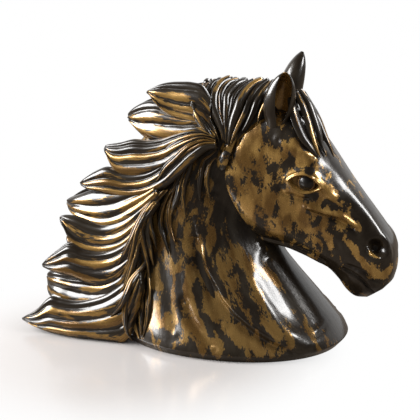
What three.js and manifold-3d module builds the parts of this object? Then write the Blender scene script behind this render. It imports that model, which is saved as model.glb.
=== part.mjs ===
// Tabletop bust of a horse: a hollow bronze head and neck with separately cast ears, eyes and locks of mane.
// Millimetres. +X is the way the horse faces, +Y its left side, +Z up. The origin is the middle of the footprint.
import * as THREE from "three";
import Module from "manifold-3d";
import { mergeVertices } from "three/addons/utils/BufferGeometryUtils.js";

const wasm = await Module();
wasm.setup();

// ---- driving dimensions ----
const WALL = 5; // thickness of the cast walls
const GAP = 0.35; // clearance between neighbouring castings, where the weld seam runs

const NECK_LEVELS = [0, 0.05, 0.16, 0.4, 0.9, 1.5, 2.1, 2.7, 3.3, 3.9, 4.5, 5.1, 5.6, 6.1, 6.6, 7];
const NECK_AROUND = 28;
// Neck sections from the base up: where each meets the crest line (x, z) and the throat line (x, z)
const NECK_BACK = [[-80, 0], [-85, 7], [-84, 45], [-77, 92], [-66, 142], [-46, 190], [-16, 228], [18, 247]];
const NECK_FRONT = [[140, 0], [147, 8], [121, 44], [86, 86], [66, 118], [64, 148], [70, 180], [74, 214]];
const NECK_HALF_WIDTH = [87, 91, 72, 54, 43, 35, 30, 23];
const NECK_STATIONS = [0, 0.16, 2, 3, 4, 5, 6, 7];

const HEAD_RINGS = 17;
const HEAD_AROUND = 24;
const POLL = [55, 208]; // origin (x, z) of the head's own frame, between the ears
const ALONG = [0.62, -0.785]; // the way from the poll to the muzzle
// Head sections: s along the face, t of the face line, t of the jaw line, half widths from face to jaw
const HEAD_SECTIONS = [
  [-11, 30, -22, 9, 17, 22, 24, 23, 19, 10],
  [-6, 38, -40, 12, 22, 27, 29, 28, 25, 15],
  [6, 46, -54, 16, 28, 32, 33, 33, 30, 18],
  [22, 50, -65, 18, 32, 35, 35, 35, 33, 20],
  [42, 51.5, -70, 19, 35, 37, 35, 35, 33, 20],
  [62, 51, -71, 19, 37, 38, 34, 34, 31, 19],
  [84, 50, -64, 17, 31, 33, 31, 31, 28, 18],
  [105, 49.5, -46, 15, 24, 27, 28, 27, 24, 17],
  [125, 49.5, -33, 14, 21, 23.5, 25, 24, 21, 15],
  [145, 49, -22.5, 14, 20, 23, 24, 23, 20, 14],
  [160, 47.5, -20, 14, 21, 25.5, 25, 23, 19, 13],
  [174, 41, -20, 13, 20, 25, 25, 23, 18, 12],
  [185, 32, -17, 12, 18, 22.5, 23, 21, 16, 10],
  [192, 23, -9, 9, 14, 17, 17, 15, 11, 7],
];
const HEAD_LEVELS = [0, 0.03, 0.14, 0.3, 0.46, 0.64, 0.82, 0.96, 1]; // share of the way from face to jaw

const EYE = { s: 66, t: 21, inset: 30, radius: 10 };
const NOSTRIL = { s: 156, t: 36, inset: 27, radii: [9, 4, 6], tilt: 0.7 };

const EARS = [
  { name: "ear_right", root: [77, -25, 224], tip: [88, -29, 273], opening: [0.7, -0.7, 0.1] },
  { name: "ear_left", root: [84, 22, 228], tip: [90, 26, 286], opening: [0.8, -0.5, 0.1] },
];
const EAR_RADIUS = 13;
const EAR_WALL = 3;
const EAR_GAP = 0.5; // clearance round an ear, wider because its rim is thin

// Locks of mane: centre line from root to tip, half width and half thickness
const RIGHT_LOCKS = [
  { route: [[30, -30, 194], [19, -28, 208], [6, -24, 223], [-9, -20, 234], [-36, -17, 240], [-57, -14, 245]],
    wide: 18, thick: 8 },
  { route: [[27, -34, 196], [1, -34, 200], [-26, -32, 190], [-53, -28, 182], [-81, -24, 181], [-99, -20, 187]],
    wide: 15, thick: 8 },
  { route: [[7, -38, 193], [-18, -38, 180], [-45, -37, 167], [-72, -34, 158], [-101, -30, 152], [-123, -28, 149]],
    wide: 15, thick: 8 },
  { route: [[-40, -44, 147], [-50, -44, 130], [-66, -44, 112], [-86, -43, 101], [-108, -41, 99], [-128, -39, 105],
    [-142, -36, 116]],
    wide: 15, thick: 8 },
  { route: [[-43, -46, 131], [-56, -48, 102], [-72, -50, 84], [-93, -52, 76], [-115, -51, 78], [-137, -50, 76],
    [-156, -50, 66]],
    wide: 17, thick: 8 },
  { route: [[-53, -52, 69], [-57, -58, 47], [-67, -62, 31], [-89, -64, 23], [-116, -65, 25], [-144, -63, 20],
    [-177, -60, 11]],
    wide: 18, thick: 8 },
];
const MIDDLE_LOCK = {
  route: [[27, -30, 192], [7, -22, 200], [-11, -14, 203], [-39, -8, 205], [-62, -4, 207], [-79, 0, 214]],
  wide: 17, thick: 8,
};
// How far each left lock's tip lies from the mirror image of its right twin's
const LEFT_TIP_SHIFTS = [[0, 0, 0], [0, 0, 0], [0, 0, 0], [-20, 0, 4], [0, 0, 0], [-17.8, 0, 10]];
const LOCK_RINGS = 12;
const LOCK_AROUND = 10;
const HAIR_AROUND = 20;
const EAR_RINGS = 11;
const EAR_ARC = 9;
const BALL_SIDES = [16, 10];
const LOCK_STOPS = [0, 0.12, 0.35, 0.62, 0.82, 0.94, 1];
const LOCK_WIDTHS = [0.45, 0.55, 0.85, 1, 0.76, 0.38, 0.08];
const LOCK_DEPTHS = [0.45, 0.62, 0.95, 1, 0.8, 0.52, 0.12];

// Core of the mane behind the locks: rows from the top down, each from a place in the neck (x, z) to the back
// edge (x, z), with its half thickness at each
const CORE_ROWS = [
  [[0, 226], [-38, 232], 12, 8], [[-16, 214], [-50, 224], 20, 11], [[-30, 195], [-62, 198], 26, 14],
  [[-42, 172], [-98, 162], 30, 17], [[-50, 150], [-115, 136], 33, 22], [[-58, 126], [-137, 107], 35, 27],
  [[-66, 100], [-142, 81], 40, 32], [[-70, 70], [-160, 50], 48, 40], [[-72, 40], [-158, 23], 56, 48],
  [[-74, 16], [-140, 9], 58, 50], [[-74, 5], [-122, 3], 56, 46],
];
const CORE_AROUND = 20;

// Crest hair: sections across the poll at x, as ellipses (centre height, half width, half height)
const CREST_SECTIONS = [
  [-14, 234, 8, 8], [-4, 220, 20, 27], [10, 208, 28, 46], [36, 204, 31, 55], [50, 204, 31, 57],
  [61, 206, 29, 56], [72, 212, 24, 48], [80, 222, 16, 34],
];
// Forelock: sections across the forehead at s, as ellipses (centre t, half width, half height)
const FORELOCK_SECTIONS = [
  [-8, 24, 22, 26], [4, 26, 27, 29], [20, 26, 30, 30], [38, 28, 30, 28], [54, 30, 20, 25], [68, 36, 8, 17],
];

// Flank hair: a low pad on the side of the neck, from neck station to station, with its front edge's angle
const FLANK_FROM = 0.35;
const FLANK_TO = 5.6;
const FLANK_BACK_ANGLE = 174;
const FLANK_FRONT_STATIONS = [0, 1.5, 3, 4, 5, 6];
const FLANK_FRONT_ANGLES = [132, 118, 108, 98, 80, 70];
const FLANK_THICK = 5.5;
const FLANK_EDGE = 1;
const FLANK_DEEP = 2.5;
const FLANK_GRID = [13, 7];

// Underside: felt pad, closing plate and the screws that hold the plate to bosses in the neck
const FELT_TOP = 2.3;
const PLATE_BOTTOM = 2.65;
const PLATE_TOP = 6.65;
const BOSS_RADIUS = 6;
const BOSS_TOP = 46;
const BOSS_PLACES = [[-10, 73], [62, 72]];
const SCREW = { head: 3.8, shank: 1.7, neck: 4.8, length: 22, socket: 1.4, socketDeep: 1.3 };
const SCREW_SIDES = 12;
const CUTTER_PAST = 1; // how far a cutter runs past what it cuts

const BRONZE = new THREE.MeshStandardMaterial({ color: 0x6e5430, roughness: 0.28, metalness: 0.9 });
const DARK_BRONZE = new THREE.MeshStandardMaterial({ color: 0x2c2824, roughness: 0.25, metalness: 0.8 });
const GLOSS_DARK = new THREE.MeshStandardMaterial({ color: 0x14110e, roughness: 0.12, metalness: 0.6 });
const STEEL = new THREE.MeshStandardMaterial({ color: 0x9a9a98, roughness: 0.35, metalness: 1 });
const FELT = new THREE.MeshStandardMaterial({ color: 0x23262a, roughness: 0.95, metalness: 0 });

// ---- curves ----

// A cubic Hermite spline through values at knots, whose slope at a knot is the chord between its neighbours.
function spline(knots, values, at) {
  const last = knots.length - 1;
  let i = 0;
  while (i < last - 1 && at >= knots[i + 1]) i += 1;
  const slope = (k) => {
    const a = Math.max(k - 1, 0);
    const b = Math.min(k + 1, last);
    return (values[b] - values[a]) / (knots[b] - knots[a]);
  };
  const h = knots[i + 1] - knots[i];
  const x = Math.min(Math.max((at - knots[i]) / h, 0), 1);
  const rise = x * x * (3 - 2 * x);
  const start = (x * x * x - 2 * x * x + x) * h * slope(i);
  const end = (x * x * x - x * x) * h * slope(i + 1);
  return values[i] * (1 - rise) + values[i + 1] * rise + start + end;
}

// The same spline through points, one coordinate at a time.
function splinePoint(knots, points, at) {
  return points[0].map((_, axis) => spline(knots, points.map((p) => p[axis]), at));
}

const evenly = (count, from, to) => Array.from({ length: count }, (_, i) => from + ((to - from) * i) / (count - 1));
const signedPower = (value, power) => Math.sign(value) * Math.abs(value) ** power;

function average(ring) {
  return ring.reduce((sum, p) => sum.add(p), new THREE.Vector3()).divideScalar(ring.length);
}

// ---- solids ----

// A geometry as a manifold solid, with its faces turned outwards.
function solidOf(geometry) {
  geometry.deleteAttribute("normal");
  geometry.deleteAttribute("uv");
  const merged = mergeVertices(geometry, 1e-4);
  const data = { numProp: 3, vertProperties: merged.attributes.position.array };
  const solid = new wasm.Manifold(new wasm.Mesh({ ...data, triVerts: new Uint32Array(merged.index.array) }));
  if (solid.volume() > 0) return solid;
  const turned = new Uint32Array(merged.index.array).reverse();
  return new wasm.Manifold(new wasm.Mesh({ ...data, triVerts: turned }));
}

// Quads between neighbouring rings, as a list of triangle corners.
function ringFaces(count, around) {
  const faces = [];
  for (let i = 0; i < count - 1; i += 1) {
    for (let j = 0; j < around; j += 1) {
      const k = (j + 1) % around;
      const [a, b, c, d] = [i * around + j, i * around + k, (i + 1) * around + k, (i + 1) * around + j];
      faces.push(a, b, c, a, c, d);
    }
  }
  return faces;
}

function skinSolid(points, faces) {
  const geometry = new THREE.BufferGeometry().setFromPoints(points);
  geometry.setIndex(faces);
  return solidOf(geometry);
}

// A closed skin over rings of points, with a fan of triangles to a pole at each end.
function loft(rings, first = average(rings[0]), last = average(rings.at(-1))) {
  const around = rings[0].length;
  const points = [...rings.flat(), first, last];
  const faces = ringFaces(rings.length, around);
  const end = (rings.length - 1) * around;
  for (let j = 0; j < around; j += 1) {
    const k = (j + 1) % around;
    faces.push(k, j, points.length - 2, end + j, end + k, points.length - 1);
  }
  return skinSolid(points, faces);
}

// A closed skin over rings that run out along one face of a thin sheet and back along the other.
function sheetLoft(rings) {
  const around = rings[0].length;
  const faces = ringFaces(rings.length, around);
  const end = (rings.length - 1) * around;
  for (let j = 0; j < around / 2 - 1; j += 1) {
    const [a, b, c, d] = [j, j + 1, around - 2 - j, around - 1 - j];
    faces.push(b, a, d, b, d, c, end + a, end + b, end + c, end + a, end + c, end + d);
  }
  return skinSolid(rings.flat(), faces);
}

// The biggest single body of a solid, without the chips that a cut leaves behind.
function biggest(solid) {
  return solid.decompose().sort((a, b) => b.volume() - a.volume())[0];
}

const cutBy = (solid, cutters) => cutters.reduce((left, cutter) => left.subtract(cutter), solid);

function turnedSolid(profile, sides) {
  const geometry = new THREE.LatheGeometry(profile.map(([r, z]) => new THREE.Vector2(r, z)), sides);
  return solidOf(geometry.rotateX(Math.PI / 2));
}

function ellipsoid(centre, radii, turn = 0) {
  const geometry = new THREE.SphereGeometry(1, ...BALL_SIDES);
  geometry.scale(...radii);
  geometry.rotateY(turn);
  return solidOf(geometry.translate(...centre));
}

// ---- neck ----

// A point of the neck's skin at a station and an angle (0 to the front, 180 to the back), grown outwards.
function neckPoint(station, angle, grow) {
  const back = splinePoint(NECK_STATIONS, NECK_BACK, station);
  const front = splinePoint(NECK_STATIONS, NECK_FRONT, station);
  const half = spline(NECK_STATIONS, NECK_HALF_WIDTH, station) + grow;
  const fore = signedPower(Math.cos(angle), 0.92);
  const side = signedPower(Math.sin(angle), 0.95);
  const lift = station > 6.9 ? grow : 0;
  const x = (front[0] + back[0]) / 2 + fore * ((front[0] - back[0]) / 2 + grow);
  const z = (front[1] + back[1]) / 2 + fore * ((front[1] - back[1]) / 2) + lift;
  return new THREE.Vector3(x, half * side, z);
}

function neckSolid(grow, stretchDown = 0) {
  const angles = evenly(NECK_AROUND + 1, 0, 2 * Math.PI).slice(0, -1);
  const rings = NECK_LEVELS.map((station) => angles.map((angle) => neckPoint(station, angle, grow)));
  rings[0].forEach((p) => p.setZ(-stretchDown));
  return loft(rings);
}

// ---- head ----

// From the head's own (s, y, t) to the bust's (x, y, z).
function headPlace(s, y, t) {
  return new THREE.Vector3(POLL[0] + s * ALONG[0] - t * ALONG[1], y, POLL[1] + s * ALONG[1] + t * ALONG[0]);
}

function headSolid(grow) {
  const knots = HEAD_SECTIONS.map((row) => row[0]);
  const [start, end] = [knots[0] - grow, knots.at(-1) + grow];
  // One corner ring for each section: down the right side from the face, back up the left side
  const corners = HEAD_SECTIONS.map(([, top, low, ...half]) => {
    const depth = HEAD_LEVELS.map((level) => top + grow + (low - top - 2 * grow) * level);
    const right = HEAD_LEVELS.map((_, k) => (k === 0 || k === 8 ? [0, depth[k]] : [-half[k - 1] - grow, depth[k]]));
    const left = right.slice(1, 8).reverse().map(([y, t]) => [-y, t]);
    return [...right, ...left];
  });
  const count = corners[0].length;
  const wrapped = evenly(count + 6, -3, count + 2);
  const rings = evenly(HEAD_RINGS, start, end).map((s) => {
    const inside = knots[0] + ((s - start) / (end - start)) * (knots.at(-1) - knots[0]);
    const ring = corners[0].map((_, k) => splinePoint(knots, corners.map((c) => c[k]), inside));
    const closed = wrapped.map((k) => ring[(Math.round(k) + count) % count]);
    return evenly(HEAD_AROUND + 1, 0, count).slice(0, -1).map((at) => {
      const [y, t] = splinePoint(wrapped, closed, at);
      return headPlace(s, y, t);
    });
  });
  return loft(rings, headPlace(start - 4, 0, 4), headPlace(end + 3.5, 0, 7));
}

function eyeSolid(side, grow) {
  const centre = headPlace(EYE.s, side * EYE.inset, EYE.t);
  return ellipsoid(centre.toArray(), Array(3).fill(EYE.radius + grow));
}

function nostrilCutter(side) {
  const centre = headPlace(NOSTRIL.s, side * NOSTRIL.inset, NOSTRIL.t);
  return ellipsoid(centre.toArray(), NOSTRIL.radii, NOSTRIL.tilt);
}

// ---- ears ----

// A curled leaf: at each height a crescent, wrapped round the side away from the opening.
function earSolid({ root, tip, opening }, grow) {
  const [base, top] = [new THREE.Vector3(...root), new THREE.Vector3(...tip)];
  const axis = top.clone().sub(base).normalize();
  base.addScaledVector(axis, -grow);
  top.addScaledVector(axis, grow);
  const ahead = new THREE.Vector3(...opening);
  ahead.addScaledVector(axis, -ahead.dot(axis)).normalize();
  const side = axis.clone().cross(ahead);
  const stops = [0, 0.15, 0.38, 0.6, 0.8, 0.93, 1];
  const rings = evenly(EAR_RINGS, 0, 1).map((u) => {
    const radius = EAR_RADIUS * spline(stops, [0.72, 0.88, 1, 0.86, 0.55, 0.27, 0.08], u) + grow;
    const reach = (spline(stops, [165, 150, 122, 105, 92, 80, 70], u) * Math.PI) / 180 + grow / radius;
    const wall = Math.min(Math.min(EAR_WALL, 0.55 * (radius - grow)) + 2 * grow, 0.9 * radius);
    const spine = base.clone().lerp(top, u).addScaledVector(ahead, -4 * Math.sin(Math.PI * u));
    const arc = (r, turn) =>
      spine.clone().addScaledVector(ahead, -0.8 * r * Math.cos(turn)).addScaledVector(side, r * Math.sin(turn));
    const share = evenly(EAR_ARC, -reach, reach);
    return [...share.map((turn) => arc(radius, turn)), ...share.reverse().map((turn) => arc(radius - wall, turn))];
  });
  return sheetLoft(rings);
}

// ---- mane ----

// One lock: leaf-shaped oval sections square to its route, flat side outwards.
function lockSolid({ route, wide, thick }, grow) {
  const points = route.map((p) => new THREE.Vector3(...p));
  const along = [0];
  for (let i = 1; i < points.length; i += 1) along.push(along[i - 1] + points[i].distanceTo(points[i - 1]));
  const knots = along.map((d) => d / along.at(-1));
  const place = (u) => new THREE.Vector3(...splinePoint(knots, route, u));
  const outward = new THREE.Vector3(0, Math.sign(route[0][1]) || -1, 0);
  const rings = evenly(LOCK_RINGS, 0, 1).map((u) => {
    const run = place(Math.min(u + 0.02, 1)).sub(place(Math.max(u - 0.02, 0))).normalize();
    const face = outward.clone().addScaledVector(run, -outward.dot(run)).normalize();
    const over = face.clone().cross(run);
    const half = wide * spline(LOCK_STOPS, LOCK_WIDTHS, u) + grow;
    const deep = thick * spline(LOCK_STOPS, LOCK_DEPTHS, u) + grow;
    const spine = place(u).addScaledVector(run, u === 0 ? -grow : u === 1 ? grow : 0);
    return evenly(LOCK_AROUND + 1, 0, 2 * Math.PI).slice(0, -1).map((turn) =>
      spine.clone().addScaledVector(over, half * Math.cos(turn)).addScaledVector(face, deep * Math.sin(turn)));
  });
  return loft(rings);
}

// A right lock's twin on the left flank, its tip moved by shift and each place before it by less.
function leftTwin(lock, shift) {
  const last = lock.route.length - 1;
  const route = lock.route.map(([x, y, z], i) => {
    const share = (i / last) ** 1.5;
    return [x + share * shift[0], -y + share * shift[1], z + share * shift[2]];
  });
  return { ...lock, route };
}

// The core of the mane: rounded rows from the neck to the back edge, one under another.
function coreSolid(grow) {
  const rings = CORE_ROWS.map(([root, out, atRoot, atEdge]) =>
    evenly(CORE_AROUND + 1, 0, 2 * Math.PI).slice(0, -1).map((turn) => {
      const share = (1 - Math.cos(turn)) / 2;
      const half = atRoot + (atEdge - atRoot) * share + grow;
      const past = (2 * grow) / Math.abs(out[0] - root[0]);
      const reach = share * (1 + 2 * past) - past;
      const x = root[0] + (out[0] - root[0]) * reach;
      const z = root[1] + (out[1] - root[1]) * reach;
      return new THREE.Vector3(x, half * signedPower(Math.sin(turn), 0.6), z);
    }));
  rings[0].forEach((p) => p.setZ(p.z + grow));
  rings.at(-1).forEach((p) => p.setZ(p.z - grow));
  return loft(rings);
}

// Hair that drapes over the poll and down the forehead: ellipses strung along a line.
function crestSolid(grow) {
  const rings = CREST_SECTIONS.map(([x, centre, half, high]) =>
    evenly(HAIR_AROUND + 1, 0, 2 * Math.PI).slice(0, -1).map((turn) =>
      new THREE.Vector3(x, (half + grow) * Math.cos(turn), centre + (high + grow) * Math.sin(turn))));
  return loft(rings);
}

function forelockSolid(grow) {
  const rings = FORELOCK_SECTIONS.map(([s, centre, half, high]) =>
    evenly(HAIR_AROUND + 1, 0, 2 * Math.PI).slice(0, -1).map((turn) =>
      headPlace(s, (half + grow) * Math.cos(turn), centre + (high + grow) * Math.sin(turn))));
  return loft(rings);
}

// The low pad of hair on one flank: a patch of the neck's skin, thickened most along its middle.
function flankSolid(side) {
  const [rows, columns] = FLANK_GRID;
  const rings = evenly(rows, 0, 1).map((u) => {
    const station = FLANK_FROM + (FLANK_TO - FLANK_FROM) * u;
    const front = spline(FLANK_FRONT_STATIONS, FLANK_FRONT_ANGLES, station);
    const point = (v, grow) => {
      const angle = ((FLANK_BACK_ANGLE + (front - FLANK_BACK_ANGLE) * v) * Math.PI) / 180;
      return neckPoint(station, side * angle, grow);
    };
    const thick = (v) => FLANK_EDGE + (FLANK_THICK - FLANK_EDGE) * Math.sqrt(Math.sin(Math.PI * v)
      * Math.sin(Math.PI * (0.08 + 0.84 * u)));
    const share = evenly(columns, 0, 1);
    return [...share.map((v) => point(v, thick(v))), ...share.reverse().map((v) => point(v, -FLANK_DEEP))];
  });
  return sheetLoft(rings);
}

// ---- underside ----

// A flat slab with the outline of the neck's opening, from one height to another.
function underSlab(inset, bottom, top) {
  const outline = evenly(NECK_AROUND + 1, 0, 2 * Math.PI).slice(0, -1).map((angle) => neckPoint(0, angle, -inset));
  const shape = new THREE.Shape(outline.map((p) => new THREE.Vector2(p.x, p.y)));
  const geometry = new THREE.ExtrudeGeometry(shape, { depth: top - bottom, bevelEnabled: false });
  return solidOf(geometry.translate(0, 0, bottom));
}

const bossSpots = BOSS_PLACES.flatMap(([x, y]) => [[x, -y], [x, y]]);
const column = (radius, bottom, top, sides) =>
  turnedSolid([[0, bottom], [radius, bottom], [radius, top], [0, top]], sides);

function screwSolid() {
  const { head, shank, neck, length, socket, socketDeep } = SCREW;
  const bottom = PLATE_BOTTOM + 0.1;
  const body = turnedSolid([[0, bottom], [head, bottom], [shank, neck], [shank, length], [0, length]], SCREW_SIDES);
  return body.subtract(column(socket, bottom - CUTTER_PAST, bottom + socketDeep, 6));
}

// The room for a screw: its own outline with clearance all round.
function screwRoom() {
  const { head, shank, neck, length } = SCREW;
  const wide = shank + GAP;
  const profile = [[0, PLATE_BOTTOM - CUTTER_PAST], [head + GAP, PLATE_BOTTOM - CUTTER_PAST],
    [head + GAP, PLATE_BOTTOM], [wide, neck + GAP / 2], [wide, length + CUTTER_PAST], [0, length + CUTTER_PAST]];
  return turnedSolid(profile, SCREW_SIDES);
}

// ---- assembly ----

const bust = new THREE.Group();

function addPiece(name, solid, material) {
  const mesh = solid.getMesh();
  const geometry = new THREE.BufferGeometry();
  geometry.setAttribute("position", new THREE.BufferAttribute(new Float32Array(mesh.vertProperties), 3));
  geometry.setIndex(new THREE.BufferAttribute(new Uint32Array(mesh.triVerts), 1));
  geometry.computeVertexNormals();
  const piece = new THREE.Mesh(geometry, material);
  piece.name = name;
  bust.add(piece);
}

const neckRoom = neckSolid(GAP);
const neckHollow = neckSolid(-WALL, CUTTER_PAST);
const headRoom = headSolid(GAP);
const earRooms = EARS.map((ear) => earSolid(ear, EAR_GAP));
const rooms = [neckRoom, headRoom];

function addNeck() {
  const outer = neckSolid(0);
  const bosses = bossSpots.map(([x, y]) =>
    column(BOSS_RADIUS, PLATE_TOP + GAP, BOSS_TOP, SCREW_SIDES).translate(x, y, 0).intersect(outer));
  const holes = bossSpots.map(([x, y]) => screwRoom().translate(x, y, 0));
  const shell = bosses.reduce((sum, boss) => sum.add(boss), outer.subtract(neckHollow));
  addPiece("neck_shell", biggest(cutBy(shell, [headRoom, ...holes])), BRONZE);
}

function addHead() {
  const shell = headSolid(0).subtract(headSolid(-WALL));
  const cutters = [-1, 1].flatMap((side) => [eyeSolid(side, GAP), nostrilCutter(side)]);
  addPiece("head_shell", biggest(cutBy(shell, [neckHollow, ...cutters])), BRONZE);
  addPiece("eye_right", eyeSolid(-1, 0), GLOSS_DARK);
  addPiece("eye_left", eyeSolid(1, 0), GLOSS_DARK);
}

function addEars() {
  EARS.forEach((ear) => addPiece(ear.name, biggest(cutBy(earSolid(ear, 0), rooms)), DARK_BRONZE));
}

function addCore() {
  addPiece("mane_core", biggest(cutBy(coreSolid(0), rooms)), DARK_BRONZE);
  rooms.push(coreSolid(2 * GAP));
}

// Adds the locks one after another, each cut clear of those before it, and leaves their rooms in the list.
function addLocks() {
  const left = RIGHT_LOCKS.map((lock, i) => leftTwin(lock, LEFT_TIP_SHIFTS[i]));
  const named = [
    ["mane_lock_middle", MIDDLE_LOCK],
    ...RIGHT_LOCKS.map((lock, i) => [`mane_lock_right_${i + 1}`, lock]),
    ...left.map((lock, i) => [`mane_lock_left_${i + 1}`, lock]),
  ];
  named.forEach(([name, lock]) => {
    addPiece(name, biggest(cutBy(lockSolid(lock, 0), [...rooms, ...earRooms])), BRONZE);
    rooms.push(lockSolid(lock, GAP));
  });
}

function addHair() {
  const crest = biggest(cutBy(crestSolid(0), [...rooms, ...earRooms]));
  addPiece("crest_hair", crest, DARK_BRONZE);
  rooms.push(crestSolid(GAP));
  addPiece("forelock", biggest(cutBy(forelockSolid(0), [...rooms, ...earRooms])), DARK_BRONZE);
  addPiece("flank_hair_right", biggest(cutBy(flankSolid(-1), rooms)), BRONZE);
  addPiece("flank_hair_left", biggest(cutBy(flankSolid(1), rooms)), BRONZE);
}

function addUnderside() {
  const holes = bossSpots.map(([x, y]) => screwRoom().translate(x, y, 0));
  addPiece("closing_plate", cutBy(underSlab(WALL + 2 * GAP, PLATE_BOTTOM, PLATE_TOP), holes), STEEL);
  addPiece("felt_pad", underSlab(WALL + 2 * GAP, 0, FELT_TOP), FELT);
  bossSpots.forEach(([x, y], i) => addPiece(`plate_screw_${i + 1}`, screwSolid().translate(x, y, 0), STEEL));
}

addNeck();
addHead();
addEars();
addCore();
addLocks();
addHair();
addUnderside();

export default bust;
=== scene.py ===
"""Cast bronze horse head bust with a fluted, wind-blown mane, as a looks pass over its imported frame.

Everything is worked out in millimetres in the part's own frame (+X the way the horse faces, +Y its left side,
+Z up, origin at the middle of its footprint) and is turned into metres when a mesh is made.
"""

from __future__ import annotations

import logging
import math
from dataclasses import dataclass, field, replace
from enum import Enum

import bpy
import numpy as np
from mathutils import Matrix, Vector


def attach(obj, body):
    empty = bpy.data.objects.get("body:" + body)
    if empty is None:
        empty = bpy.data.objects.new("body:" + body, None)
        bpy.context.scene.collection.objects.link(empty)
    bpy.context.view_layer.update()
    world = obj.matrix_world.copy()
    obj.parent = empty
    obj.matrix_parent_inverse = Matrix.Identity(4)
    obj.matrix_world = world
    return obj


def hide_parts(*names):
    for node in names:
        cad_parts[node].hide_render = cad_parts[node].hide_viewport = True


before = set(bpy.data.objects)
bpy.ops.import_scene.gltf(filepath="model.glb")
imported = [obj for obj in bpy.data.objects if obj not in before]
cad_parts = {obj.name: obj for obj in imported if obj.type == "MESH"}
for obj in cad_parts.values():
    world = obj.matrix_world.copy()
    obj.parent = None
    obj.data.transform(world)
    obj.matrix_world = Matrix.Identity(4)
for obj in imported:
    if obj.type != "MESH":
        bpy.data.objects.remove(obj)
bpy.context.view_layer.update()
LOG = logging.getLogger("horse_bust")
MM = 0.001
Array = np.ndarray
Line = tuple[tuple[float, float], ...]
Point = tuple[float, float, float]
Route = tuple[Point, ...]
Colour = tuple[float, float, float, float]


class Side(Enum):
    """Which flank of the horse a paired piece belongs to, as the sign of its Y."""

    RIGHT = -1.0
    LEFT = 1.0


def table(*rows: tuple[float, ...] | float) -> Array:
    """A dataclass field that holds these rows as one array."""
    return field(default_factory=lambda: np.array(rows, float))


# ---------------------------------------------------------------- curves and grids


def spline_matrix(knots: Array, at: Array) -> Array:
    """Weights of a cubic Hermite spline, whose slope at a knot is the chord between its two neighbours.

    Args:
        knots: increasing parameters of the control values.
        at: parameters where the spline is wanted.

    Returns:
        A matrix M with one row for each parameter, so that M @ values are the spline's values.
    """
    knots, at = np.asarray(knots, float), np.asarray(at, float)
    n = len(knots)
    slope = np.zeros((n, n))
    inner = np.arange(1, n - 1)
    span = knots[2:] - knots[:-2]
    slope[inner, inner + 1] = 1.0 / span
    slope[inner, inner - 1] = -1.0 / span
    slope[0, [0, 1]] = np.array([-1.0, 1.0]) / (knots[1] - knots[0])
    slope[-1, [-2, -1]] = np.array([-1.0, 1.0]) / (knots[-1] - knots[-2])
    i = np.clip(np.searchsorted(knots, at, side="right") - 1, 0, n - 2)
    h = knots[i + 1] - knots[i]
    x = np.clip((at - knots[i]) / h, 0.0, 1.0)
    eye = np.eye(n)
    return (
        (2 * x**3 - 3 * x**2 + 1)[:, None] * eye[i]
        + (3 * x**2 - 2 * x**3)[:, None] * eye[i + 1]
        + ((x**3 - 2 * x**2 + x) * h)[:, None] * slope[i]
        + ((x**3 - x**2) * h)[:, None] * slope[i + 1]
    )


def spline(knots: Array, values: Array, at: Array) -> Array:
    """The same spline through values that are numbers or points."""
    return spline_matrix(knots, at) @ np.asarray(values, float)


def ease(low: float, high: float, x: Array) -> Array:
    """A smooth step from 0 at low to 1 at high: 3q^2 - 2q^3 of the clipped share q of the way."""
    q = np.clip((np.asarray(x, float) - low) / (high - low), 0.0, 1.0)
    return q * q * (3 - 2 * q)


def bell(x: Array, width: float) -> Array:
    """A Gaussian bump, exp(-(x / width)^2)."""
    return np.exp(-((np.asarray(x, float) / width) ** 2))


def unit(vectors: Array) -> Array:
    """Vectors scaled to length one along their last axis."""
    return vectors / np.maximum(np.linalg.norm(vectors, axis=-1, keepdims=True), 1e-9)


def full_turn(count: int) -> Array:
    """Angles spread evenly round a circle, from 0."""
    return np.linspace(0.0, 2 * np.pi, count, endpoint=False)


def lengths_along(points: Array) -> Array:
    """The length of a polyline from its start to each of its corners."""
    return np.concatenate([[0.0], np.cumsum(np.linalg.norm(np.diff(points, axis=0), axis=1))])


def spaced(low: float, high: float, count: int, dense: tuple[Point, ...], closed: bool) -> Array:
    """Places from low to high, packed closer near some of them.

    Args:
        low: the first place.
        high: the last place, left out when the row is closed.
        count: how many places.
        dense: (middle, width, weight) of each denser stretch.
        closed: whether high is the same place as low.

    Returns:
        The places: equal shares of the running sum of 1 + weight * exp(-((x - middle) / width)^2).
    """
    x = np.linspace(low, high, 2001)
    weight = 1.0 + sum(w * bell(x - middle, width) for middle, width, w in dense)
    total = np.concatenate([[0.0], np.cumsum((weight[1:] + weight[:-1]) / 2)])
    return np.interp(np.linspace(0.0, total[-1], count, endpoint=not closed), total, x)


def outward_normals(grid: Array) -> Array:
    """Unit normals of a piece that stands on both sides of y = 0.

    Args:
        grid: (u, v, 3) points that close round v.

    Returns:
        The cross product of the grid's two differences, turned so that it points away from y = 0.
    """
    du = np.gradient(grid, axis=0)
    dv = np.roll(grid, -1, axis=1) - np.roll(grid, 1, axis=1)
    normal = unit(np.cross(dv, du))
    return -normal if (normal[..., 1] * grid[..., 1]).sum() < 0 else normal


# ---------------------------------------------------------------- lines drawn on a surface


def to_line(points: Array, line: Array) -> tuple[Array, Array]:
    """How flat points lie about a polyline.

    Args:
        points: (n, 2) points.
        line: (k, 2) corners of the polyline.

    Returns:
        For each point its distance from the polyline, signed (positive on the left of the way it runs), and its
        distance from the nearer end.
    """
    start, step = line[:-1], np.diff(line, axis=0)
    away = points[:, None, :] - start[None]
    share = np.clip((away * step).sum(-1) / (step**2).sum(1), 0.0, 1.0)
    gap = away - share[..., None] * step
    distance = np.linalg.norm(gap, axis=-1)
    k = distance.argmin(1)
    row = np.arange(len(points))
    cross = step[k, 0] * gap[row, k, 1] - step[k, 1] * gap[row, k, 0]
    near_end = np.minimum(*(np.linalg.norm(points - end, axis=1) for end in (line[0], line[-1])))
    return distance[row, k] * np.where(cross < 0, -1.0, 1.0), near_end


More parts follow.
